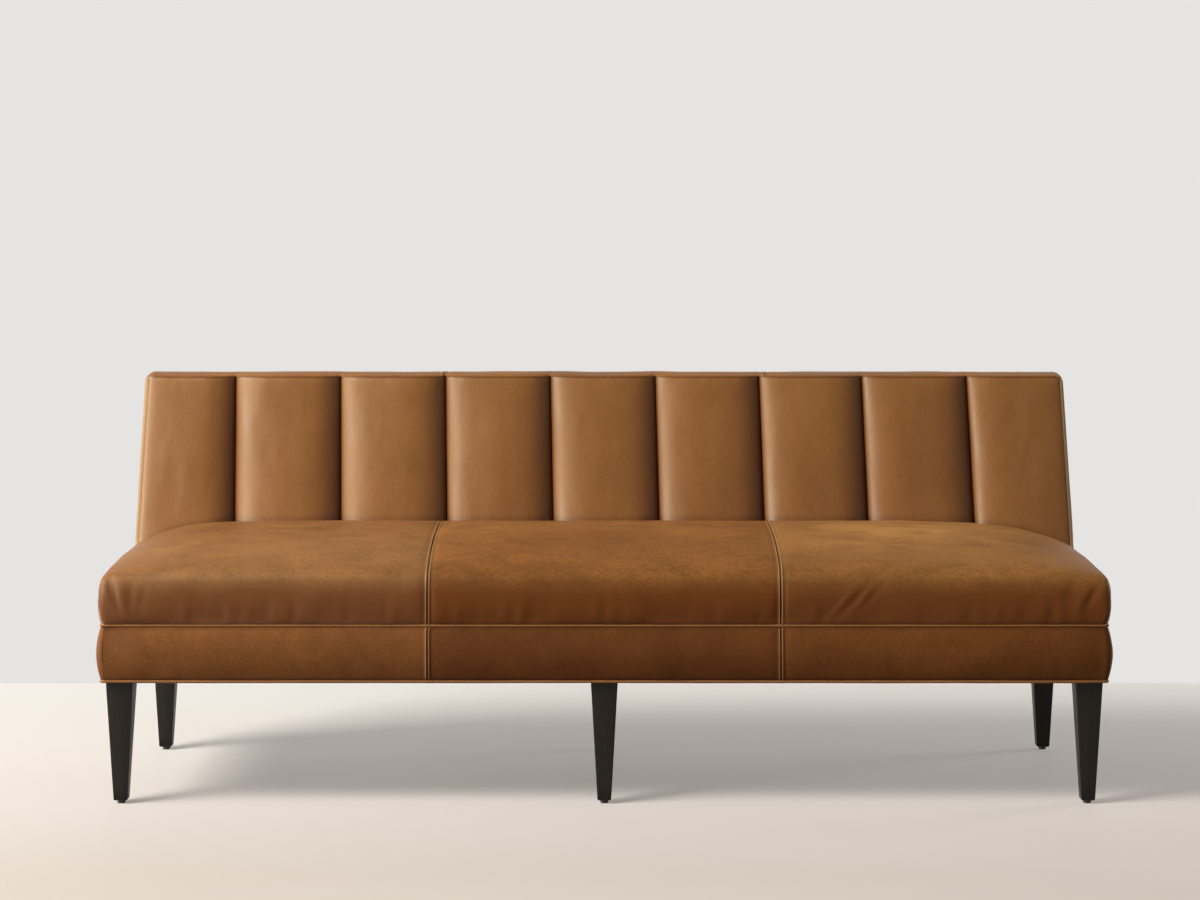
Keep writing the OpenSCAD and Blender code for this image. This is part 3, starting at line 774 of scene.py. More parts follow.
@dataclass
class SeatCushion:
    """The crowned seat: foam under three sewn leather panels with a boxed, rounded edge."""

    sizes: Sizes = SIZES
    cover_t: float = 0.0036
    foam_gap: float = 0.0068
    plan_r: float = 0.014
    soften: float = 1.35
    turn: float = 2.6
    edge_steps: int = 22
    dropped: int = 9
    pitch: float = 0.0058
    pucker: float = 0.0011
    corner_seam: float = 0.0068
    fit_run: float = 0.10
    upright: float = 0.03
    # Where the painted shade on the seat's front starts to fade, and over what run.
    painted_shade_from: float = 0.060
    painted_shade_run: float = 0.042
    coarse_steps: int = 9
    sim_pitch: float = 0.0125
    foam_pitch: float = 0.02
    cloth: Cloth = Cloth()
    folds: tuple[Fold, ...] = (
        Fold(0.560, 0.062, 0.95, 0.006, 0.026, -0.0016),
        Fold(0.541, 0.058, 0.80, 0.005, 0.020, 0.0012),
        Fold(0.522, 0.052, 1.00, 0.006, 0.030, -0.0021),
        Fold(0.500, 0.050, 0.85, 0.007, 0.024, 0.0013),
        Fold(0.478, 0.040, 1.05, 0.005, 0.020, -0.0013),
        Fold(-1.012, 0.070, -0.18, 0.006, 0.040, -0.0022),
        Fold(-0.998, 0.062, -0.10, 0.007, 0.036, 0.0016),
        Fold(-0.983, 0.056, 0.06, 0.006, 0.030, -0.0014),
        Fold(-0.962, 0.050, 0.15, 0.008, 0.028, -0.0009),
        Fold(1.004, 0.058, 0.30, 0.006, 0.028, -0.0020),
        Fold(0.990, 0.050, 0.42, 0.006, 0.026, 0.0014),
        Fold(0.968, 0.066, 0.20, 0.010, 0.020, -0.0014),
    )
    # Nap patches as x, y and their two widths. The left one is a painted sheen towards the front.
    patches: dict[Section, tuple[float, float, float, float]] = field(default_factory=lambda: {
        Section.LEFT: (-0.66, -0.20, 0.24, 0.12),
        Section.CENTER: (0.02, 0.05, 0.30, 0.10),
        Section.RIGHT: (0.66, -0.02, 0.24, 0.17),
    })
    sim_x: Array = field(init=False)
    sim_dy: Array = field(init=False)
    moves: Array = field(init=False)

    def edge_places(self, steps: int, reach: float) -> Array:
        """Distances in from an edge, even round its turn: its softened reach times one minus cosine."""
        angle = np.linspace(0, math.pi / 2, steps)
        return self.soften * reach * (1 - np.cos(angle))

    def rows(self, steps: int, pitch: float) -> Array:
        """Distances back from the front edge, to the back."""
        z = self.sizes
        edge = self.edge_places(steps, z.front_round)
        count = int((z.seat_depth - edge[-1]) / pitch)
        return np.concatenate([edge, np.linspace(edge[-1], z.seat_depth, count + 1)[1:]])

    def columns(self, section: Section) -> Array:
        """Sideways places of a panel's points, close together at its seams and even round the side's turn.

        The last few of the places before the turn are dropped, because the turn has its own there.
        """
        z = self.sizes
        if section is Section.CENTER:
            return z.panel_places(section, z.half_w, self.pitch)
        edge = self.edge_places(self.edge_steps, z.side_round)
        rest = near_seams(z.seam_x + z.gap / 2, z.half_w - edge[-1], self.pitch)
        side = np.concatenate([rest[:-self.dropped], z.half_w - edge[::-1]])
        return side if section is Section.RIGHT else -side[::-1]

    def form(self, xs: Array, dys: Array) -> Array:
        """The smooth form at a grid of places.

        Near a corner the square of the plan is bent into a quarter disc. The height is the
        soft turns of the side and the front, each the root of one minus a power of the distance
        left, times the boxed edge's height and the crown, which rises as one minus e to the power
        of minus the distance over its run. The sides lean out as they rise, and the last rows
        are drawn together so that the rear edge follows the raked back.

        Args:
            xs: Places along the bench.
            dys: Distances back from the front edge.

        Returns:
            Rows by columns by x, y, z.
        """
        z = self.sizes
        x, dy = np.meshgrid(xs, dys)
        side = np.sign(x)
        dx = z.half_w - np.abs(x)
        a, b = np.maximum(self.plan_r - dx, 0), np.maximum(self.plan_r - dy, 0)
        both = 2 * self.plan_r**2
        bent_a, bent_b = a * np.sqrt(1 - b * b / both), b * np.sqrt(1 - a * a / both)
        turn_x = 1 - np.minimum(dx / (self.soften * z.side_round), 1)
        turn_y = 1 - np.minimum(dy / (self.soften * z.front_round), 1)
        rise = np.sqrt((1 - turn_x**self.turn) * (1 - turn_y**self.turn))
        dx, dy = np.where(a > 0, self.plan_r - bent_a, dx), np.where(b > 0, self.plan_r - bent_b, dy)
        run_x = np.interp(x / z.half_w, [-0.5, 0.5], z.side_runs)
        crown_x = z.side_start + (1 - z.side_start) * (1 - np.exp(-dx / run_x))
        crown_y = 1 - np.exp(-dy / z.crown_run)
        h = rise * (z.edge_h + z.crown_h * crown_x * crown_y)
        lean = np.minimum(1, h / z.edge_h)
        out_x = z.side_lean * lean**0.8 * np.clip(1 - np.maximum(0, dx - z.side_round) / z.lean_run, 0, 1)
        out_y = z.seat_lean * lean**1.5 * np.clip(1 - np.maximum(0, dy - z.front_round) / z.crown_run, 0, 1)
        px = side * (z.half_w - dx + out_x)
        py = z.front_y + dy - out_y
        pz = z.cushion_z + h
        near_back = climb(np.maximum(dy, 0), z.seat_depth - self.fit_run, self.fit_run)
        py += near_back * (z.crown_y(pz) - z.gap - z.front_y - z.seat_depth)
        return np.stack([px, py, pz], axis=-1)

    def relax(self) -> None:
        """Lets the leather swell over its foam, held at the welt, the back and the two seams."""
        z = self.sizes
        inner = np.linspace(-z.seam_x, z.seam_x, 59)
        edge = z.half_w - self.edge_places(self.coarse_steps, z.side_round)[::-1]
        outer = np.concatenate([np.linspace(z.seam_x, edge[0], 52)[1:], edge[1:]])
        self.sim_x = np.concatenate([-outer[::-1], inner, outer])
        self.sim_dy = self.rows(self.coarse_steps, self.sim_pitch)
        points = self.form(self.sim_x, self.sim_dy)
        held = edge_mask(*points.shape[:2]) | (np.abs(np.abs(self.sim_x) - z.seam_x) < 1e-6)
        self.moves = self.cloth.relax(points, held)

    def surface(self, section: Section) -> tuple[Array, Array, Array]:
        """A panel's finished outer surface, its painted crease shade, and its painted shade on the front and the
        lower sides.
        """
        z = self.sizes
        xs, dys = self.columns(section), self.rows(self.edge_steps, self.pitch)
        points = self.form(xs, dys) + resample(self.moves, self.sim_dy, self.sim_x, dys, xs)
        n = normals(points)
        x, dy = np.meshgrid(xs, dys)
        s = np.cumsum(np.linalg.norm(np.diff(points, axis=0, prepend=points[:1]), axis=-1), axis=0)
        from_seam = np.abs(np.abs(x) - z.seam_x)
        from_side, from_back = z.half_w - np.abs(x), z.seat_depth - dy
        from_corner = np.abs(from_side) - self.corner_seam
        upright = 1 - climb(dy, self.upright, self.upright)
        folds = sum(f.height(x, s) for f in self.folds)
        gather = self.pucker * smooth_noise(x, 0.019, 3) * bump(s - 0.012, 0.030)
        ripple = 0.0007 * noise_2d(x, s, 0.055, 0.10, 5) + 0.0011 * noise_2d(x, s, 0.16, 0.13, 8)
        height = (folds + gather + ripple) * climb(s, 0, 0.01) * climb(from_side, 0, 0.008)
        height += seam_profile(from_seam) - 0.0016 * bump(from_corner, 0.0015) * climb(s, 0, 0.006) * upright
        points = points + n * (height * climb(from_back, 0, 0.02))[..., None]
        # Painted shade in the seams, along the welt, at the corner seams, in the fold valleys and along the back.
        painted_crease_shade = 0.45 * bump(from_seam, SEAM_WIDTH) + 0.8 * bump(s, 0.004) + 0.3 * bump(s, 0.014)
        painted_crease_shade += 0.6 * bump(from_corner, 0.0014) * upright + np.clip(-folds / 0.006, 0, 0.35)
        painted_crease_shade += 0.5 * bump(from_back, 0.012)
        # Painted shade over the front face and low on the sides, where little light falls.
        low = 1 - climb(points[..., 2], z.cushion_z + 0.052, 0.035)
        beside = low * (1 - climb(from_side, 0, 0.012))
        painted_shade = np.maximum(1 - climb(s, self.painted_shade_from, self.painted_shade_run), beside)
        return points, np.clip(painted_crease_shade, 0, 1), painted_shade

    def build(self, finishes: dict[Section, bpy.types.Material], foam: bpy.types.Material) -> None:
        """Makes the three panels and the foam under them."""
        self.relax()
        for section in Section:
            points, painted_crease_shade, painted_shade = self.surface(section)
            inner = points - normals(points) * self.cover_t
            piece = shell(f"seat_panel_{section.value}", points, inner)
            set_attribute(piece, "painted_crease_shade", painted_crease_shade)
            set_attribute(piece, "wear_and_highlight", self.highlight_and_wear(section, points))
            patch = self.patches[section]
            nap_and_sheen = bump(points[..., 0] - patch[0], patch[2]) * bump(points[..., 1] - patch[1], patch[3])
            set_attribute(piece, "nap_and_sheen", nap_and_sheen)
            set_attribute(piece, "painted_shade", painted_shade)
            settle(piece, finishes[section], (f"seat_cover_{section.value}",))
        self.build_foam(foam)

    def highlight_and_wear(self, section: Section, points: Array) -> Array:
        """How lightened each point is: the seams' ridges, partly as wear and partly as painted highlight, and a
        painted highlight on the ends past their corner seams.
        """
        z = self.sizes
        ridge = bump(np.abs(np.abs(points[..., 0]) - z.seam_x) - STITCH_OFFSET, SEAM_WIDTH)
        past = 1 - climb(z.half_w - np.abs(self.columns(section)), self.corner_seam - 0.0025, 0.0015)
        ahead = 1 - climb(self.rows(self.edge_steps, self.pitch), 0.008, 0.014)
        return 0.8 * ridge + 1.2 * past[None, :] * ahead[:, None]

    def build_foam(self, foam: bpy.types.Material) -> None:
        """Makes the foam: the smooth form set in under the leather, over a flat bottom."""
        z = self.sizes
        side = z.half_w - self.edge_places(self.coarse_steps, z.side_round)
        xs = np.concatenate([-side, np.linspace(-side[-1], side[-1], 90)[1:-1], side[::-1]])
        dys = self.rows(self.coarse_steps, self.foam_pitch)
        top = self.form(xs, dys) + resample(self.moves, self.sim_dy, self.sim_x, dys, xs)
        top = top - normals(top) * self.foam_gap
        top[..., 2] = np.maximum(top[..., 2], z.cushion_z + 0.003)
        top[..., 0] = np.clip(top[..., 0], -z.half_w - 0.014, z.half_w + 0.014)
        flat = top.copy()
        x, dy = np.meshgrid(xs, dys)
        flat[..., 0] = x * (z.half_w - self.foam_gap) / z.half_w
        flat[..., 1] = z.front_y + self.foam_gap + dy * (z.seat_depth - 0.042) / z.seat_depth
        flat[..., 2] = z.cushion_z
        top[-1, :, 1] = z.crown_y(top[-1, :, 2]) - z.gap
        piece = shell("seat_foam_core", top, flat)
        settle(piece, foam, ("seat_foam",))


@dataclass
class BackChannels:
    """Nine upright channels of leather over foam, sewn down at the grooves between them."""

    sizes: Sizes = SIZES
    power: float = 2.5
    end_power: float = 5.0
    end_full: float = 0.78
    pinch: float = 0.93
    pinch_run: float = 0.012
    taper: float = 0.20
    taper_run: float = 0.20
    aslant: float = 0.0075
    aslant_run: float = 0.19
    nearer: float = 0.0080
    nearer_from: float = 0.25
    nearer_run: float = 0.35
    top_gap: float = 0.0006
    close_h: float = 0.02
    across: int = 34
    up: int = 84
    cloth: Cloth = Cloth(pressure=1.0, slack=0.004, cap=0.0022)

    def fullness(self, u: Array, k: Array | int) -> Array:
        """Share of a channel's thickness at shares across channel k.

        It is the root of one minus a power of the distance from the middle. Where the row ends
        there is no groove, and the leather turns over to the boxing with most of its thickness.
        """
        across = np.abs(2 * u - 1)
        grooved = np.sqrt(np.clip(1 - across**self.power, 0, 1))
        turned = self.end_full + (1 - self.end_full) * np.sqrt(np.clip(1 - across**self.end_power, 0, 1))
        outer = ((u < 0.5) & (k == 0)) | ((u > 0.5) & (k == self.sizes.channels - 1))
        return np.where(outer, turned, grooved)

    def form(self, k: int, us: Array, zs: Array) -> Array:
        """A channel's smooth front: the groove line less its fullness, less and less towards the top seam.

        Args:
            k: The channel's number, from 0 at the left.
            us: Shares across the channel.
            zs: Heights.

        Returns:
            Rows by columns by x, y, z.
        """
        z = self.sizes
        low, high = z.channel_edges()[k] + z.gap / 2, z.channel_edges()[k + 1] - z.gap / 2
        u, h = np.meshgrid(us, zs)
        y = z.groove_y(h) - self.rise * self.fullness(u, k) * self.filled(h)
        return np.stack([low + u * (high - low), y, h], axis=-1)

    def filled(self, h: Array | float) -> Array:
        """Share of a channel's thickness at a height: one, less a slow and a short fall to the top seam."""
        depth = self.sizes.boxing_z - np.asarray(h)
        slow = 1 - self.taper * (1 - climb(depth, 0, self.taper_run)) ** 1.5
        return slow * (1 - (1 - self.pinch) * (1 - climb(depth, 0, self.pinch_run)) ** 2)

    @property
    def rise(self) -> float:
        """How far a channel's crown stands before its grooves."""
        return (self.sizes.channel_t - self.sizes.groove_t) / math.cos(self.sizes.rake)

    def end_y(self, h: Array) -> Array:
        """Front of the row's two ends, where the boxing is sewn on."""
        below = np.minimum(h, self.sizes.boxing_z)
        return self.sizes.groove_y(below) - self.rise * self.end_full * self.filled(below)

    def sewn(self, x: Array, h: Array | float) -> Array:
        """Sideways places with the grooves sewn a little aslant and, on the right, nearer the middle."""
        z = self.sizes
        inner = climb(z.frame_x - z.gap - np.abs(x), 0, self.aslant_run)
        up = (h - z.seat_top_z) / (z.boxing_z - z.seat_top_z) - 0.5
        return x - inner * (self.aslant * up + self.nearer * climb(x, self.nearer_from, self.nearer_run))

    def top_y(self, x: Array) -> Array:
        """Front of the channels along the top seam, scalloped from groove to groove."""
        z = self.sizes
        edges = self.sewn(z.channel_edges(), z.boxing_z)
        k = np.clip(np.searchsorted(edges, x) - 1, 0, z.channels - 1)
        u = np.clip((x - edges[k]) / (edges[k + 1] - edges[k]), 0, 1)
        return z.groove_y(z.boxing_z) - self.rise * self.fullness(u, k) * self.filled(z.boxing_z)

    def swollen(self, k: int, us: Array, zs: Array) -> Array:
        """A channel's front after its cloth simulation, with soft noise and gathers at the top seam."""
        z = self.sizes
        sim_u, sim_z = eased(17), np.linspace(zs[0], zs[-1], 40)
        coarse = self.form(k, sim_u, sim_z)
        move = self.cloth.relax(coarse, edge_mask(*coarse.shape[:2]))
        points = self.form(k, us, zs) + resample(move, sim_z, sim_u, zs, us)
        u, h = np.meshgrid(us, zs)
        across = np.sin(np.pi * u)
        soft = 0.0013 * noise_2d(u * 0.25, h, 0.07, 0.12, 20 + k)
        soft += 0.0005 * noise_2d(u * 0.25, h, 0.02, 0.05, 40 + k)
        points[..., 1] -= soft * across * climb(z.boxing_z - h, 0, self.close_h)
        gathers = 0.0008 * smooth_noise(points[..., 0], 0.011, 60 + k) * bump(z.boxing_z - h, 0.016)
        points[..., 1] += gathers * across
        return points

    def build(self, seat: SeatCushion, finishes: list[bpy.types.Material]) -> None:
        """Makes every channel."""
        z = self.sizes
        edges = z.channel_edges()
        close = (self.close_h - self.top_gap) * (1 - np.linspace(0, 1, 13)[1:]) ** 1.5
        zs = np.concatenate([np.linspace(z.cushion_z, z.boxing_z - self.close_h, self.up - len(close)),
                             z.boxing_z - self.top_gap - close])
        for k in range(z.channels):
            points = self.swollen(k, eased(self.across), zs)
            h = np.broadcast_to(zs[:, None], points.shape[:2])
            back = points.copy()
            back[..., 1] = z.panel_y(h) - z.gap
            left, right = points[..., 0] - edges[k] - z.gap / 2, edges[k + 1] - z.gap / 2 - points[..., 0]
            grooved = k < z.channels - 1
            # Painted shade in the grooves, spread wide over each channel's right flank away from the key light,
            # under the top seam and where the channels meet the seat.
            painted_crease_shade = bump(left, 0.0030) * (k > 0) + bump(right, 0.0030) * grooved
            painted_crease_shade += bump(right, 0.038) * grooved + 0.6 * bump(z.boxing_z - h, 0.0030)
            seat_z = seat.form(points[0, :, 0], np.array([z.seat_depth]))[0, :, 2]
            painted_crease_shade += 0.45 * bump(np.maximum(h - seat_z, 0), 0.009)
            for side in (points, back):
                side[..., 0] = z.flared(self.sewn(side[..., 0], h), h)
            piece = shell(f"channel_{k + 1}", points, back)
            set_attribute(piece, "painted_crease_shade", np.clip(painted_crease_shade, 0, 1))
            # Painted highlight down the left edge of the first channel.
            set_attribute(piece, "wear_and_highlight", 0.6 * bump(left, 0.005) * (k == 0))
            settle(piece, finishes[k % len(finishes)], (f"back_channel_{k + 1}",))


@dataclass
class BackBoxing:
    """The leather strip up one side of the back, over its top and down the other side."""

    sizes: Sizes = SIZES
    depth_steps: int = 36
    edge_r: float = 0.0045
    thick: float = 0.0082
    bulge: float = 0.0030
    top_crown: float = 0.0072
    top_thinner: float = 0.0054
    pitch: float = 0.005

    def path(self, section: Section) -> tuple[Array, Array, Array, Array]:
        """Points and outward directions along the strip, seen from the front.

        Returns:
            x and z of the path, and x and z of its outward direction.
        """
        z = self.sizes
        r = z.back_corner_r
        if section is Section.CENTER:
            x = z.panel_places(section, z.half_w, self.pitch)
            return x, np.full_like(x, z.boxing_edge_z), np.zeros_like(x), np.ones_like(x)
        top = near_seams(z.seam_x + z.gap / 2, z.half_w - r, self.pitch)[:-3]
        angle = np.linspace(math.pi / 2, 0, 12)
        down = np.linspace(z.boxing_edge_z - r, z.cushion_z + 0.0012, 44)[1:]
        x = np.concatenate([top, z.half_w - r + r * np.cos(angle), np.full(len(down), z.half_w)])
        h = np.concatenate([np.full(len(top), z.boxing_edge_z), z.boxing_edge_z - r + r * np.sin(angle), down])
        nx = np.concatenate([np.zeros(len(top)), np.cos(angle), np.ones(len(down))])
        nz = np.concatenate([np.ones(len(top)), np.sin(angle), np.zeros(len(down))])
        if section is Section.LEFT:
            return -x[::-1], h[::-1], -nx[::-1], nz[::-1]
        return x, h, nx, nz

    def build(self, channels: BackChannels, finishes: dict[Section, bpy.types.Material]) -> None:
        """Makes the strip's three panels: a path swept from its front edge to its rear edge."""
        z = self.sizes
        for section in Section:
            x, h, nx, nz = self.path(section)
            ease = climb(h, z.cushion_z + z.edge_h, 0.02)
            front = z.crown_y(h) * (1 - ease) + channels.end_y(h) * ease
            front = np.where(nz > 0.99, channels.top_y(x), front)
            rear = z.frame_rear_y - z.gap
            t, k = np.meshgrid(eased(self.depth_steps), np.arange(len(x)), indexing="ij")
            y = front[k] + t * (rear - front[k])
            arch = 4 * t * (1 - t)
            roll = 1 - np.abs(2 * t - 1) ** 10
            crown = self.top_crown * arch * nz[k] + self.bulge * np.sqrt(arch) * np.abs(nx[k])
            wave = 0.0009 * smooth_noise(x[k] + h[k], 0.07, 13) * roll
            seam = np.maximum(seam_profile(np.abs(np.abs(x[k]) - z.seam_x)), -0.0015) * roll * (nz[k] > 0.99)
            lift = crown + wave + seam - 0.0012 * (1 - roll)
            inward = 1 - climb(y - front[k], 0, self.edge_r)
            lift -= self.edge_r * np.abs(nx[k]) * ease[k] * (1 - np.sqrt(1 - inward**2))
            outer = points_of(x[k] + nx[k] * lift, y, h[k] + nz[k] * lift)
            deep = self.thick - np.where(nz[k] > 0.5, self.top_thinner, 0.0)
            inner = points_of(x[k] - nx[k] * deep, y, h[k] - nz[k] * deep)
            for side in (outer, inner):
                side[..., 0] += (1 - t) * (z.flared(side[..., 0], side[..., 2]) - side[..., 0])
            piece = shell(f"boxing_{section.value}", outer, inner)
            # Painted shade along the rear edge and in the seams.
            painted_crease_shade = 0.45 * bump(1 - t, 0.03) + 0.8 * bump(np.abs(np.abs(x[k]) - z.seam_x), 0.0016)
            set_attribute(piece, "painted_crease_shade", np.clip(painted_crease_shade, 0, 1))
            # Painted highlight along the front edge of the boxing's sides.
            set_attribute(piece, "wear_and_highlight", 1.4 * bump(y - front[k], 0.007) * np.abs(nx[k]) * ease[k])
            settle(piece, finishes[section], (f"back_boxing_{section.value}",))


@dataclass
class OutsideBack:
    """Three leather panels with wadding over the rear of the bench, sewn side by side."""

    sizes: Sizes = SIZES
    puff: float = 0.0012
    pitch: float = 0.014

    def build(self, finishes: dict[Section, bpy.types.Material]) -> None:
        """Makes the panels: flat grids that swell a little and roll under along their edges."""
        z = self.sizes
        outer_x = z.half_w - 0.0006
        low, high = z.rail_z + z.gap, z.boxing_edge_z - 0.0004
        zs = near_seams(low, high, self.pitch)
        r = z.back_corner_r
        for number, section in enumerate(Section):
            x, h = np.meshgrid(z.panel_places(section, outer_x, self.pitch), zs)
            a, b = np.maximum(np.abs(x) - (outer_x - r), 0), np.maximum(h - (high - r), 0)
            both = 2 * r * r
            bent_x = np.where(b > 0, np.sign(x) * (outer_x - r + a * np.sqrt(1 - b * b / both)), x)
            x = np.where(a > 0, bent_x, x)
            h = np.where((a > 0) & (b > 0), high - r + b * np.sqrt(1 - a * a / both), h)
            edge = np.maximum(np.minimum(np.minimum(outer_x - np.abs(x), high - h), h - low), 0)
            seam = np.abs(np.abs(x) - z.seam_x)
            lift = self.puff * (1 - np.exp(-edge / 0.05)) - 0.0028 * bump(edge, 0.004)
            lift += 0.0010 * noise_2d(x, h, 0.21, 0.17, 70 + number) * (1 - bump(edge, 0.02))
            lift += np.minimum(seam_profile(seam), 0.0006)
            y = z.rear_y - 0.0015 + np.minimum(lift, 0.0035)
            outer = points_of(x, y, h)[:, ::-1]
            inner = outer.copy()
            inner[..., 1] = z.frame_rear_y + 0.0001
            piece = shell(f"outside_back_{section.value}", outer, inner)
            # Painted shade along the edges and in the seams.
            painted_crease_shade = (0.8 * bump(edge, 0.0035) + 0.9 * bump(seam, 0.002))[:, ::-1]
            set_attribute(piece, "painted_crease_shade", np.clip(painted_crease_shade, 0, 1))
            settle(piece, finishes[section], ("outside_back",))


@dataclass
class BaseBand:
    """The padded leather band round the base, between its two welts."""

    sizes: Sizes = SIZES
    thick: float = 0.0074
    swell: float = 0.007
    ease: float = 0.0060
    spread: float = 0.0040
    turn: float = 0.040
    steps: int = 30
    seed: int = 80

    def heights(self) -> tuple[Array, Array]:
        """Heights of the band's points, closer together at the welts, and how far up the band they are."""
        z = self.sizes
        low = z.rail_z + z.gap
        high = z.seat_welt_z - z.welt_r - z.gap
        return low + (high - low) * eased(self.steps), eased(self.steps)

    def swollen(self, share: Array) -> Array:
        """How far the band swells out at a share of its height."""
        return self.swell * np.sin(np.pi * share) ** 0.8

    def wrap(self, name: str, plan: Array, outward: Array, run: Array,
             seams: Array) -> tuple[bpy.types.Object, Array]:
        """A swelling band along a path in plan.

        The swell is a half sine of the height, with soft noise and small gathers at the welts.

        Args:
            name: The piece's name.
            plan: Places x, y along the path.
            outward: Outward directions in plan.
            run: Distance of each place along the band from the middle of the front.
            seams: Distance of each place from the nearest seam.

        Returns:
            The piece, and its painted crease shade.
        """
        z = self.sizes
        zs, share = self.heights()
        s, h = np.meshgrid(run, share)
        middle = np.sin(np.pi * h)
        lift = self.swollen(h) - 0.0006
        lift += 0.0011 * noise_2d(s, h * 0.11, 0.10, 0.05, self.seed) * middle
        gather = bump(h, 0.18) + bump(1 - h, 0.18)
        lift += 0.0005 * smooth_noise(s, 0.016, self.seed + 1) * gather * np.minimum(1, 8 * middle)
        lift += np.minimum(seam_profile(np.broadcast_to(seams, s.shape)), 0.0011) * np.minimum(1, 6 * middle)
        turned = bump(np.abs(s) - z.half_w + z.corner_r * (2 - math.pi / 2) / 2, self.turn) * middle**0.7
        px = plan[:, 0] + outward[:, 0] * lift + np.sign(s) * self.spread * turned
        py = plan[:, 1] + outward[:, 1] * lift + self.ease * turned
        outer = points_of(px, py, zs[:, None])
        deep = plan - outward * self.thick
        inner = points_of(deep[:, 0], deep[:, 1], outer[..., 2])
        piece = shell(name, outer, inner)
        # Painted shade at both welts and in the seams.
        painted_crease_shade = 0.55 * bump(h, 0.045) + 0.55 * bump(1 - h, 0.045) + 0.45 * bump(seams, SEAM_WIDTH)[None, :]
        # Painted shade: the band grows darker towards its bottom, where less light falls.
        painted_crease_shade += 0.40 * bump(h, 0.45)
        return piece, np.clip(painted_crease_shade, 0, 1)

    def build(self, finishes: dict[Section, bpy.types.Material]) -> None:
        """Makes the front's three panels and the two ends, which turn the front corners."""
        z = self.sizes
        bend = z.corner_r
        reach = z.half_w - bend - z.gap
        for section in Section:
            x = z.panel_places(section, reach + z.gap / 2, 0.010)
            plan = points_of(x, z.front_y)
            outward = np.tile([0.0, -1.0], (len(x), 1))
            seams = np.abs(np.abs(x) - z.seam_x)
            piece, painted_crease_shade = self.wrap(f"band_{section.value}", plan, outward, x, seams)
            set_attribute(piece, "painted_crease_shade", painted_crease_shade)
            # Ridges beside the seams, lightened partly as wear and partly as painted highlight.
            set_attribute(piece, "wear_and_highlight", np.broadcast_to(bump(seams - STITCH_OFFSET, SEAM_WIDTH), painted_crease_shade.shape))
            settle(piece, finishes[section], (f"base_band_{section.value}",))
        angle = np.linspace(-math.pi / 2, 0, 14)
        back = near_seams(z.front_y + bend, z.frame_rear_y - z.gap, 0.012)[1:]
        x = np.concatenate([z.half_w - bend + bend * np.cos(angle), np.full(len(back), z.half_w)])
        y = np.concatenate([z.front_y + bend + bend * np.sin(angle), back])
        nx = np.concatenate([np.cos(angle), np.ones(len(back))])
        ny = np.concatenate([np.sin(angle), np.zeros(len(back))])
        for side, section in ((1, Section.RIGHT), (-1, Section.LEFT)):
            plan, outward = points_of(side * x, y)[::side], points_of(side * nx, ny)[::side]
            run = reach + np.concatenate([[0], np.cumsum(np.hypot(np.diff(x), np.diff(y)))])
            run = (side * run)[::side]
            piece, painted_crease_shade = self.wrap(f"band_end_{section.value}", plan, outward, run, np.ones(len(plan)))
            set_attribute(piece, "painted_crease_shade", painted_crease_shade)
            settle(piece, finishes[section], (f"base_end_{section.value}",))


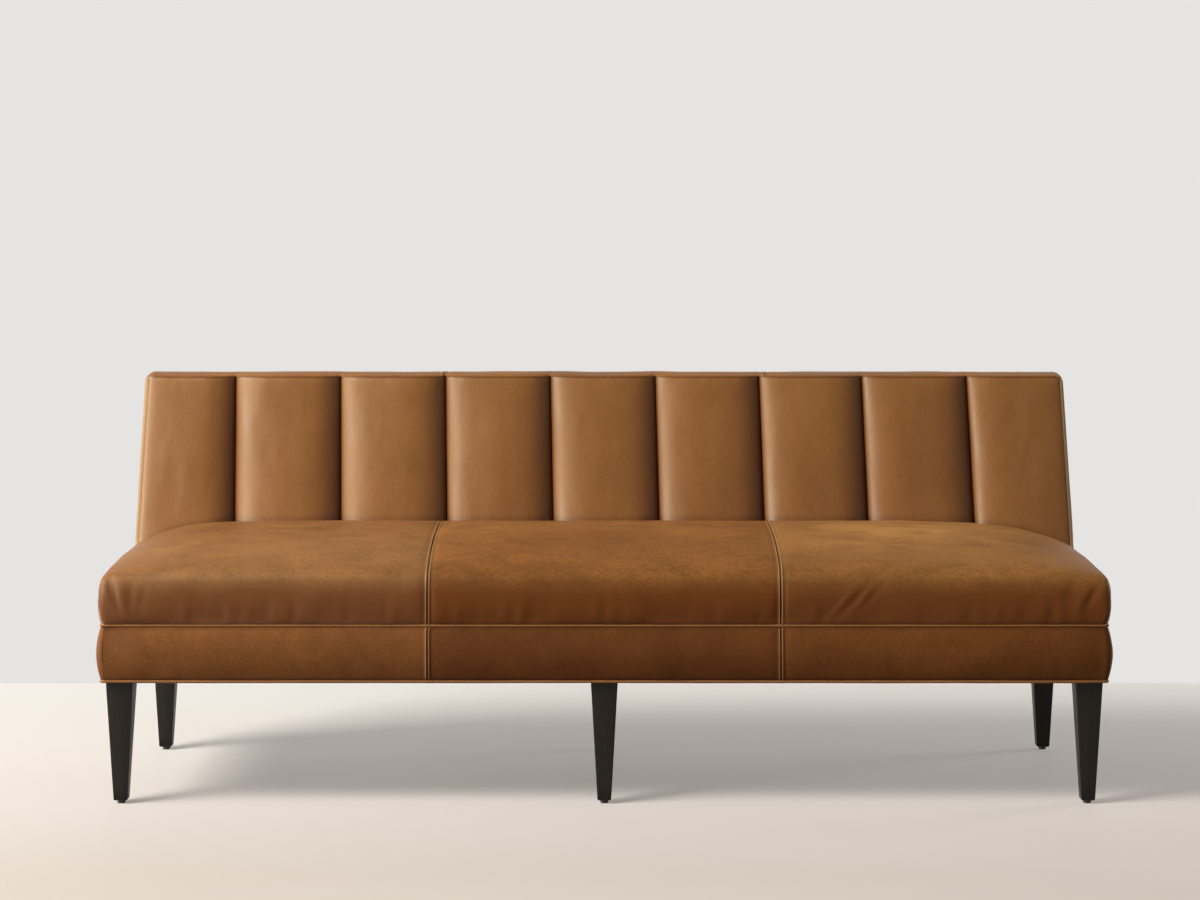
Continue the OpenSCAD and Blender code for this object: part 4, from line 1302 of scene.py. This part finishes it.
@dataclass
class Piping:
    """Leather piping: a cord in a turned strip, swept round the base."""

    sizes: Sizes = SIZES
    around: int = 14
    pitch: float = 0.006
    out: float = 0.0020

    def places(self, start: float, stop: float) -> Array:
        """Places a pitch apart from a start to a stop."""
        return np.linspace(start, stop, max(2, int(abs(stop - start) / self.pitch)))

    def path(self, closed: bool) -> Array:
        """Places along the piping in plan, with quarter turns at the corners.

        Args:
            closed: Whether it runs round all four sides, or stops at the outside back.

        Returns:
            Places x, y in order.
        """
        z = self.sizes
        bend = z.corner_r - z.welt_r
        x, front, rear = z.half_w - z.welt_r + self.out, z.front_y + z.welt_r, z.rear_y - z.welt_r
        turn = np.linspace(0, math.pi / 2, 10)[1:-1]
        sine, cosine = bend * np.sin(turn), bend * np.cos(turn)
        left = self.places(rear - bend if closed else z.frame_rear_y - z.gap, front + bend)
        bottom = self.places(bend - x, x - bend)
        parts = [
            points_of(-x, left),
            points_of(bend - x - cosine, front + bend - sine),
            points_of(bottom, front),
            points_of(x - bend + sine, front + bend - cosine),
            points_of(x, left[::-1]),
        ]
        if closed:
            parts += [
                points_of(x - bend + cosine, rear - bend + sine),
                points_of(bottom[::-1], rear),
                points_of(bend - x - sine, rear - bend + cosine),
            ]
        return np.concatenate(parts)

    def sweep(self, name: str, plan: Array, height: float, closed: bool, seed: int) -> bpy.types.Object:
        """A tube along the path whose radius and height vary softly, with a joint at each seam.

        Args:
            name: The piece's name.
            plan: Places along the path.
            height: Height of the cord's middle.
            closed: Whether the path closes.
            seed: Seed of its noise.

        Returns:
            The new piece.
        """
        z = self.sizes
        step = np.roll(plan, -1, axis=0) - np.roll(plan, 1, axis=0)
        if not closed:
            step[0], step[-1] = plan[1] - plan[0], plan[-1] - plan[-2]
        side = np.stack([step[:, 1], -step[:, 0]], axis=1)
        side /= np.linalg.norm(side, axis=1, keepdims=True)
        run = np.cumsum(np.linalg.norm(np.diff(plan, axis=0, prepend=plan[:1]), axis=1))
        joint = bump(np.abs(np.abs(plan[:, 0]) - z.seam_x), 0.004)
        radius = 1.06 * z.welt_r * (1 + 0.05 * smooth_noise(run, 0.03, seed) + 0.10 * joint)
        rise = 0.0002 * smooth_noise(run, 0.11, seed + 1)
        angle = np.linspace(0, 2 * math.pi, self.around, endpoint=False)
        out = radius[:, None] * np.cos(angle)[None, :]
        up = radius[:, None] * np.sin(angle)[None, :] + height + rise[:, None]
        points = points_of(plan[:, :1] + side[:, :1] * out, plan[:, 1:] + side[:, 1:] * out, up)
        rows, columns = points.shape[:2]
        faces = grid_faces(rows, columns, closed=True)[:, ::-1]
        first, last = np.arange(columns), (rows - 1) * columns + np.arange(columns)
        if closed:
            closing = np.stack([first, np.roll(first, -1), np.roll(last, -1), last], axis=1)
            return make_object(name, points, np.concatenate([faces, closing]))
        ends = points[[0, -1]].mean(axis=1)
        hub = np.full(columns, rows * columns)
        caps = np.concatenate([np.stack([hub, first, np.roll(first, -1)], axis=1),
                               np.stack([hub + 1, np.roll(last, -1), last], axis=1)])
        return make_object(name, np.concatenate([points.reshape(-1, 3), ends]), faces.tolist() + caps.tolist())

    def build(self, finish: bpy.types.Material) -> None:
        """Makes the seat welt, open at the back, and the base welt all round."""
        z = self.sizes
        seat = self.sweep("seat_piping", self.path(False), z.seat_welt_z, False, 31)
        settle(seat, finish, ("seat_welt",))
        base = self.sweep("base_piping", self.path(True), z.leg_space + z.welt_r + z.gap, True, 34)
        settle(base, finish, ("base_welt",))


@dataclass
class Topstitching:
    """Rows of thread on both sides of each seam, one small lens-shaped stitch after another."""

    sizes: Sizes = SIZES
    pitch: float = 0.0052
    length: float = 0.0038
    radius: float = 0.00055
    shares: tuple[float, ...] = (0.0, 0.18, 0.5, 0.82, 1.0)
    sides: int = 6
    ends: float = 0.008

    def row(self, points: Array, outward: Array) -> tuple[Array, Array]:
        """Stitches along a line on the surface.

        Each stitch is a tube of six sides whose radius is a half sine along its length.

        Args:
            points: Places along the line.
            outward: The surface's direction at each place.

        Returns:
            Points and faces of all its stitches.
        """
        run = np.concatenate([[0], np.cumsum(np.linalg.norm(np.diff(points, axis=0), axis=1))])
        starts = np.arange(0.003, run[-1] - self.length - 0.002, self.pitch)
        shares = np.array(self.shares)
        at = starts[:, None] + shares * self.length
        centre = points_of(*(np.interp(at, run, points[:, k]) for k in range(3)))
        up = points_of(*(np.interp(at, run, outward[:, k]) for k in range(3)))
        up /= np.linalg.norm(up, axis=-1, keepdims=True)
        along = np.gradient(centre, axis=1)
        along /= np.linalg.norm(along, axis=-1, keepdims=True)
        side = np.cross(along, up)[:, :, None]
        centre, up = centre[:, :, None], up[:, :, None]
        angle = np.linspace(0, 2 * math.pi, self.sides, endpoint=False)[:, None]
        half_sine = np.sin(np.pi * shares)[:, None, None]
        ring = np.cos(angle) * side + np.sin(angle) * up
        verts = centre + self.radius * ((half_sine - 0.7) * up + (0.35 + 0.65 * half_sine) * ring)
        tube = grid_faces(len(shares), self.sides, closed=True)[:, ::-1]
        start = np.array([[0, 1, 2, 3], [0, 3, 4, 5]])
        end = ((len(shares) - 1) * self.sides + start)[:, ::-1]
        faces = np.concatenate([tube, start, end])
        return verts.reshape(-1, 3), copies_of(faces, len(starts), len(shares) * self.sides)

    def piece(self, name: str, lines: list[tuple[Array, Array]], finish: bpy.types.Material) -> None:
        """Joins several rows of stitches into one piece."""
        rows = [self.row(points, outward) for points, outward in lines]
        before = np.cumsum([0] + [len(verts) for verts, _ in rows])
        faces = np.concatenate([faces + count for (_, faces), count in zip(rows, before)])
        settle(make_object(name, np.concatenate([verts for verts, _ in rows]), faces), finish)

    def build(self, seat: SeatCushion, finish: bpy.types.Material) -> None:
        """Sews both seams over the seat, down the band and down the outside back."""
        z = self.sizes
        seat_lines, band_lines, back_lines = [], [], []
        band = BaseBand()
        zs, share = band.heights()
        front_y = z.front_y - band.swollen(share) - 0.0006
        down = np.linspace(z.boxing_edge_z - self.ends, z.rail_z + self.ends, 80)
        for section, seams in ((Section.LEFT, (-1,)), (Section.CENTER, (-1, 1)), (Section.RIGHT, (1,))):
            points, _, _ = seat.surface(section)
            outward = normals(points)
            for seam in seams:
                inwards = -seam if section is Section.CENTER else seam
                x = seam * z.seam_x + inwards * STITCH_OFFSET
                column = int(np.argmin(np.abs(points[len(points) // 2, :, 0] - x)))
                seat_lines.append((points[2:-3, column], outward[2:-3, column]))
                band_lines.append((points_of(x, front_y, zs), np.tile([0.0, -1.0, 0.0], (len(zs), 1))))
                rear = points_of(x, z.rear_y + 0.0002, down)
                back_lines.append((rear, np.tile([0.0, 1.0, 0.0], (len(down), 1))))
        self.piece("seat_topstitching", seat_lines, finish)
        self.piece("band_topstitching", band_lines, finish)
        self.piece("outside_back_topstitching", back_lines, finish)


@dataclass
class Legs:
    """Six square tapered legs with softened edges."""

    top: float = 0.057
    foot: float = 0.029
    soften: float = 0.0016
    chamfer: float = 0.002
    rings: int = 12

    def ring(self, side: float, height: float, middle: tuple[float, float]) -> Array:
        """A square with rounded corners at one height: four quarter turns in order."""
        quarter = np.linspace(0, math.pi / 2, 5)
        angle = np.concatenate([quarter + k * math.pi / 2 for k in range(4)])
        reach = side / 2 - self.soften
        cx = reach * np.repeat([1, -1, -1, 1], 5)
        cy = reach * np.repeat([1, 1, -1, -1], 5)
        return points_of(middle[0] + cx + self.soften * np.cos(angle),
                         middle[1] + cy + self.soften * np.sin(angle), height)

    def build(self, finish: bpy.types.Material) -> None:
        """Makes each leg: rings from the chamfered foot to the top, closed at both ends."""
        for place in Place:
            low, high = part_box(f"leg_{place.value}")
            middle = ((low.x + high.x) / 2, (low.y + high.y) / 2)
            sides = np.linspace(self.foot, self.top, self.rings)
            heights = np.linspace(low.z + self.chamfer, high.z, self.rings)
            rings = [self.ring(self.foot - 2 * self.chamfer, low.z, middle)]
            rings += [self.ring(side, height, middle) for side, height in zip(sides, heights)]
            points = np.stack(rings)
            rows, columns = points.shape[:2]
            faces = grid_faces(rows, columns, closed=True).tolist()
            faces.append(list(range(columns))[::-1])
            faces.append([(rows - 1) * columns + k for k in range(columns)])
            piece = make_object(f"tapered_leg_{place.value}", points, faces)
            for polygon in piece.data.polygons[-2:]:
                polygon.use_smooth = False
            settle(piece, finish, (f"leg_{place.value}",))


@dataclass
class Underside:
    """The dust cover's staples, which hold it up against the frame.

    A row starts at first from one corner and stops at last from the other. None is shot within
    the middle distance of the bench's middle, where the centre legs stand, and each is turned
    a little at random.
    """

    pitch: float = 0.055
    crown: float = 0.010
    wire: float = 0.0006
    inset: float = 0.005
    first: float = 0.09
    last: float = 0.08
    middle: float = 0.05
    turned: float = 0.2
    sides: int = 6

    def build(self, finish: bpy.types.Material) -> None:
        """Makes one flat wire crown for each staple along the four edges of the dust cover."""
        low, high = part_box("dust_cover")
        xs = np.arange(low.x + self.first, high.x - self.last, self.pitch)
        ys = np.arange(low.y + self.first, high.y - self.last, self.pitch)
        xs = xs[np.abs(xs) > self.middle]
        centres = np.concatenate([points_of(xs, low.y + self.inset), points_of(xs, high.y - self.inset),
                                  points_of(low.x + self.inset, ys), points_of(high.x - self.inset, ys)])
        turn = np.concatenate([np.zeros(2 * len(xs)), np.full(2 * len(ys), math.pi / 2)])
        turn = turn + self.turned * np.random.default_rng(11).uniform(-1, 1, len(turn))
        along = np.array([-1.0, -0.96, 0.96, 1.0])[:, None] * self.crown / 2
        thick = np.array([0.3, 1.0, 1.0, 0.3])[:, None] * self.wire
        angle = np.linspace(0, 2 * math.pi, self.sides, endpoint=False)
        across, up = thick * np.cos(angle), thick * np.sin(angle)
        c, s = np.cos(turn)[:, None, None], np.sin(turn)[:, None, None]
        verts = points_of(centres[:, 0, None, None] + c * along - s * across,
                          centres[:, 1, None, None] + s * along + c * across, low.z + up)
        one = np.concatenate([grid_faces(4, self.sides, closed=True), [[3, 2, 1, 0], [5, 4, 3, 0]],
                              [[18, 19, 20, 21], [18, 21, 22, 23]]])
        faces = copies_of(one, len(turn), 4 * self.sides)
        settle(make_object("dust_cover_staples", verts, faces), finish)


@dataclass
class Frame:
    """The CAD nodes that show as they are, with their finishes."""

    timber: tuple[str, ...] = ("front_rail", "seat_back_rail", "rear_rail", "cross_rails", "back_top_rail",
                               "end_rails", "leg_blocks")
    upright: tuple[str, ...] = ("back_stile_left", "back_stile_right", "inner_stiles")
    ply: tuple[str, ...] = ("back_panel", "stile_gussets")
    zinc: tuple[str, ...] = ("gusset_bolts", "leg_bolts", "threaded_inserts")

    def build(self) -> None:
        """Gives each kept node its material."""
        beech = (0.52, 0.34, 0.19)
        finishes = {
            self.timber: Wood("beech_rails", beech).build(),
            self.upright: Wood("beech_stiles", beech, (14.0, 14.0, 1.0)).build(),
            self.ply: Wood("birch_plywood", (0.60, 0.43, 0.26), (1.5, 10.0, 8.0), 0.2).build(),
            self.zinc: Hard("bright_zinc", (0.62, 0.63, 0.65), 1.0, 0.34).build(),
            ("seat_webbing",): Woven("elastic_webbing", (0.46, 0.36, 0.22), 0.0030, 0.6).build(),
            ("deck_pad",): Woven("needled_felt", (0.40, 0.38, 0.34), 0.0008, 0.2, 0.95).build(),
            ("dust_cover",): Woven("dust_cloth", (0.022, 0.022, 0.024), 0.0010, 0.5, 0.88).build(),
        }
        for names, material in finishes.items():
            for name in names:
                dress(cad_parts[name], material)
        nylon = Hard("moulded_nylon", (0.016, 0.016, 0.017), 0.0, 0.5, 500.0).build()
        zinc = finishes[self.zinc]
        for place in Place:
            dress(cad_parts[f"glide_pad_{place.value}"], nylon)
            dress(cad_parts[f"glide_stud_{place.value}"], zinc)


@dataclass
class Studio:
    """Camera, lamps, pale floor and pale background."""

    camera_at: tuple[float, float, float] = (0.0, -5.82, 1.21)
    lens: float = 79.3
    shift: tuple[float, float] = (-0.0036, -0.1875)
    floor_end: float = 1.16
    floor_reach: float = 14.0
    floor_glow: float = 0.36
    floor_tones: tuple[Colour, Colour, Colour] = ((0.70, 0.62, 0.55), (0.74, 0.66, 0.60), (0.90, 0.86, 0.81))
    floor_bounce: Colour = (0.18, 0.16, 0.14)
    background: Colour = (0.790, 0.775, 0.760)
    fill_tone: Colour = (1.0, 0.985, 0.965)
    fill: float = 0.06
    lamp_tone: Colour = (1.0, 0.98, 0.95)

    def camera(self) -> None:
        """Puts a level camera at the photograph's viewing angle."""
        data = bpy.data.cameras.new("camera")
        data.lens = self.lens
        data.sensor_width = 36.0
        data.sensor_fit = "HORIZONTAL"
        data.shift_x, data.shift_y = self.shift
        data.clip_end = 100.0
        camera = bpy.data.objects.new("camera", data)
        camera.location = self.camera_at
        camera.rotation_euler = (math.pi / 2, 0, 0)
        bpy.context.scene.collection.objects.link(camera)
        bpy.context.scene.camera = camera

    @staticmethod
    def seen_rays(tree: bpy.types.NodeTree) -> Socket:
        """1 for the rays that the camera, a reflection or a clear piece sees, 0 for all others."""
        rays = tree.nodes.new("ShaderNodeLightPath")
        total = rays.outputs["Is Camera Ray"]
        for name in ("Is Glossy Ray", "Is Transmission Ray"):
            node = tree.nodes.new("ShaderNodeMath")
            node.operation = "MAXIMUM"
            tree.links.new(total, node.inputs[0])
            tree.links.new(rays.outputs[name], node.inputs[1])
            total = node.outputs[0]
        return total

    def floor(self) -> None:
        """Lays a pale floor, with painted light that lightens it towards the back, ending where the background
        begins, and keeps its bounce low.
        """
        reach = self.floor_reach
        points = points_of(np.array([-reach, reach, reach, -reach]),
                           np.array([-reach, -reach, self.floor_end, self.floor_end]), 0.0)
        floor = make_object("floor", points, np.array([[0, 1, 2, 3]]))
        n = Nodes("pale_floor")
        away = n.add("ShaderNodeSeparateXYZ")
        n.join(n.coordinates, away.inputs[0])
        dark, light, far = self.floor_tones
        near = n.colours(n.noise(0.9, 3.0, n.stretched((0.35, 1.6, 1.0))), [(0.3, dark), (0.7, light)])
        # Painted light: the floor grows lighter towards the back.
        tone = n.mix(n.ramp(away.outputs["Y"], -0.9, self.floor_end), near, far)
        n.join(tone, n.shader.inputs["Base Color"])
        n.shader.inputs["Roughness"].default_value = 0.6
        n.shader.inputs["Specular IOR Level"].default_value = 0.15
        glow = n.add("ShaderNodeEmission")
        n.join(tone, glow.inputs["Color"])
        seen = n.add("ShaderNodeMixShader")
        seen.inputs["Fac"].default_value = self.floor_glow
        n.join(n.shader.outputs[0], seen.inputs[1])
        n.join(glow.outputs[0], seen.inputs[2])
        dim = n.add("ShaderNodeBsdfDiffuse")
        dim.inputs["Color"].default_value = (*self.floor_bounce, 1.0)
        last = n.add("ShaderNodeMixShader")
        n.join(self.seen_rays(n.tree), last.inputs["Fac"])
        n.join(dim.outputs[0], last.inputs[1])
        n.join(seen.outputs[0], last.inputs[2])
        n.join(last.outputs[0], n.tree.nodes["Material Output"].inputs["Surface"])
        dress(floor, n.material)

    def world(self) -> None:
        """A pale background for the camera and in reflections, and a dimmer one that lights."""
        world = bpy.data.worlds.new("studio")
        world.use_nodes = True
        tree = world.node_tree
        back = tree.nodes["Background"]
        back.inputs["Color"].default_value = (*self.fill_tone, 1.0)
        back.inputs["Strength"].default_value = self.fill
        seen = tree.nodes.new("ShaderNodeBackground")
        seen.inputs["Color"].default_value = (*self.background, 1.0)
        seen.inputs["Strength"].default_value = 1.0
        mix = tree.nodes.new("ShaderNodeMixShader")
        tree.links.new(self.seen_rays(tree), mix.inputs["Fac"])
        tree.links.new(back.outputs["Background"], mix.inputs[1])
        tree.links.new(seen.outputs["Background"], mix.inputs[2])
        tree.links.new(mix.outputs["Shader"], tree.nodes["World Output"].inputs["Surface"])
        bpy.context.scene.world = world

    def lamp(self, name: str, at: tuple[float, float, float], towards: tuple[float, float, float],
             size: tuple[float, float], power: float, sheen_only: bool = False) -> None:
        """Hangs one soft rectangular lamp, aimed at a point.

        Args:
            name: The lamp's name.
            at: Where it hangs.
            towards: The point that it faces.
            size: Its width and height.
            power: Its power in watts.
            sheen_only: Whether it shows in reflections alone.
        """
        data = bpy.data.lights.new(name, "AREA")
        data.shape = "RECTANGLE"
        data.size, data.size_y = size
        data.energy = power
        data.color = self.lamp_tone
        lamp = bpy.data.objects.new(name, data)
        lamp.visible_diffuse = not sheen_only
        lamp.rotation_euler = (Vector(at) - Vector(towards)).to_track_quat("Z", "Y").to_euler()
        lamp.location = at
        bpy.context.scene.collection.objects.link(lamp)

    def build(self) -> None:
        """Sets up the whole studio."""
        self.camera()
        self.floor()
        self.world()
        self.lamp("key", (-4.9, -2.7, 5.5), (0.0, 0.0, 0.45), (3.0, 3.0), 690.0)
        self.lamp("side", (-4.6, -0.6, 0.9), (-0.6, 0.0, 0.5), (1.6, 1.6), 76.0)
        self.lamp("sheen", (-5.4, -4.2, 2.2), (0.0, 0.0, 0.65), (1.8, 2.8), 370.0, sheen_only=True)
        self.lamp("rim", (4.4, 1.6, 1.3), (0.6, 0.1, 0.6), (1.2, 1.6), 46.0)
        self.lamp("rim_left", (-4.4, 1.8, 1.2), (-0.6, 0.1, 0.6), (1.2, 1.6), 30.0, sheen_only=True)
        bpy.context.scene.view_settings.view_transform = "Standard"


def main() -> None:
    """Builds every sub-assembly in order."""
    logging.basicConfig(level=logging.INFO, format="%(message)s")
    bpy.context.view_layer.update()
    Studio().build()
    base = Leather("tan_leather", (0.262, 0.105, 0.027), gloss=0.2).build()
    back = {section: base for section in Section}
    channel_tones = {"tan_leather_channel": (0.278, 0.114, 0.030), "tan_leather_channel_warm": (0.270, 0.108, 0.028)}
    channel_finishes = [
        Leather(name, tone, 0.14, 0.06, (1.0, 1.0, 0.35), roughness=0.39, gloss=0.36, wax=(1.0, 0.90, 0.70)).build()
        for name, tone in channel_tones.items()
    ]
    brushed = (0.7, 1.3, 1.0)
    seats = {
        Section.LEFT: ((0.236, 0.095, 0.024), 0.20, 0.20, brushed, 0.22, 0.50, 0.32),
        Section.CENTER: ((0.246, 0.094, 0.021), 0.18, 0.22, brushed, 0.16, 0.56, 0.18),
        Section.RIGHT: ((0.268, 0.109, 0.026), 0.18, 0.22, brushed, 0.88, 0.54, 0.24),
    }
    seat_finishes = {section: Leather(f"seat_leather_{section.value}", *looks, painted_shade=0.95).build()
                     for section, looks in seats.items()}
    # Painted shade: the band's tones are darker than the seat's, most on the middle panel, and the left panel is
    # lighter with painted light from the left.
    bands_with_painted_shade = {
        Section.LEFT: ((0.262, 0.092, 0.022), 0.24, 0.20),
        Section.CENTER: ((0.166, 0.050, 0.0105), 0.20, 0.18),
        Section.RIGHT: ((0.205, 0.066, 0.0145), 0.24, 0.18),
    }
    band_finishes = {
        section: Leather(f"band_leather_{section.value}", tone, clouds, 0.13, roughness=0.55, gloss=gloss).build()
        for section, (tone, clouds, gloss) in bands_with_painted_shade.items()
    }
    foam = Woven("seat_foam", (0.80, 0.70, 0.42), 0.0006, 0.15, 0.95).build()
    seat = SeatCushion()
    seat.build(seat_finishes, foam)
    channels = BackChannels()
    channels.build(seat, channel_finishes)
    BackBoxing().build(channels, back)
    OutsideBack().build(back)
    BaseBand().build(band_finishes)
    # The piping's lighter tone is a painted highlight along the cord.
    Piping().build(Leather("piping_leather_painted_highlight", (0.36, 0.150, 0.046), 0.1, 0.06, roughness=0.40).build())
    Topstitching().build(seat, Woven("waxed_thread", (0.46, 0.26, 0.12), 0.0004, 0.3, 0.6).build())
    Legs().build(Wood("espresso_wood", (0.017, 0.0125, 0.009), (16.0, 16.0, 1.0), 0.35, 0.46, 0.22).build())
    Frame().build()
    Underside().build(Hard("staple_steel", (0.55, 0.55, 0.56), 1.0, 0.35).build())
    LOG.info("boxes written")


if __name__ == "__main__":
    main()
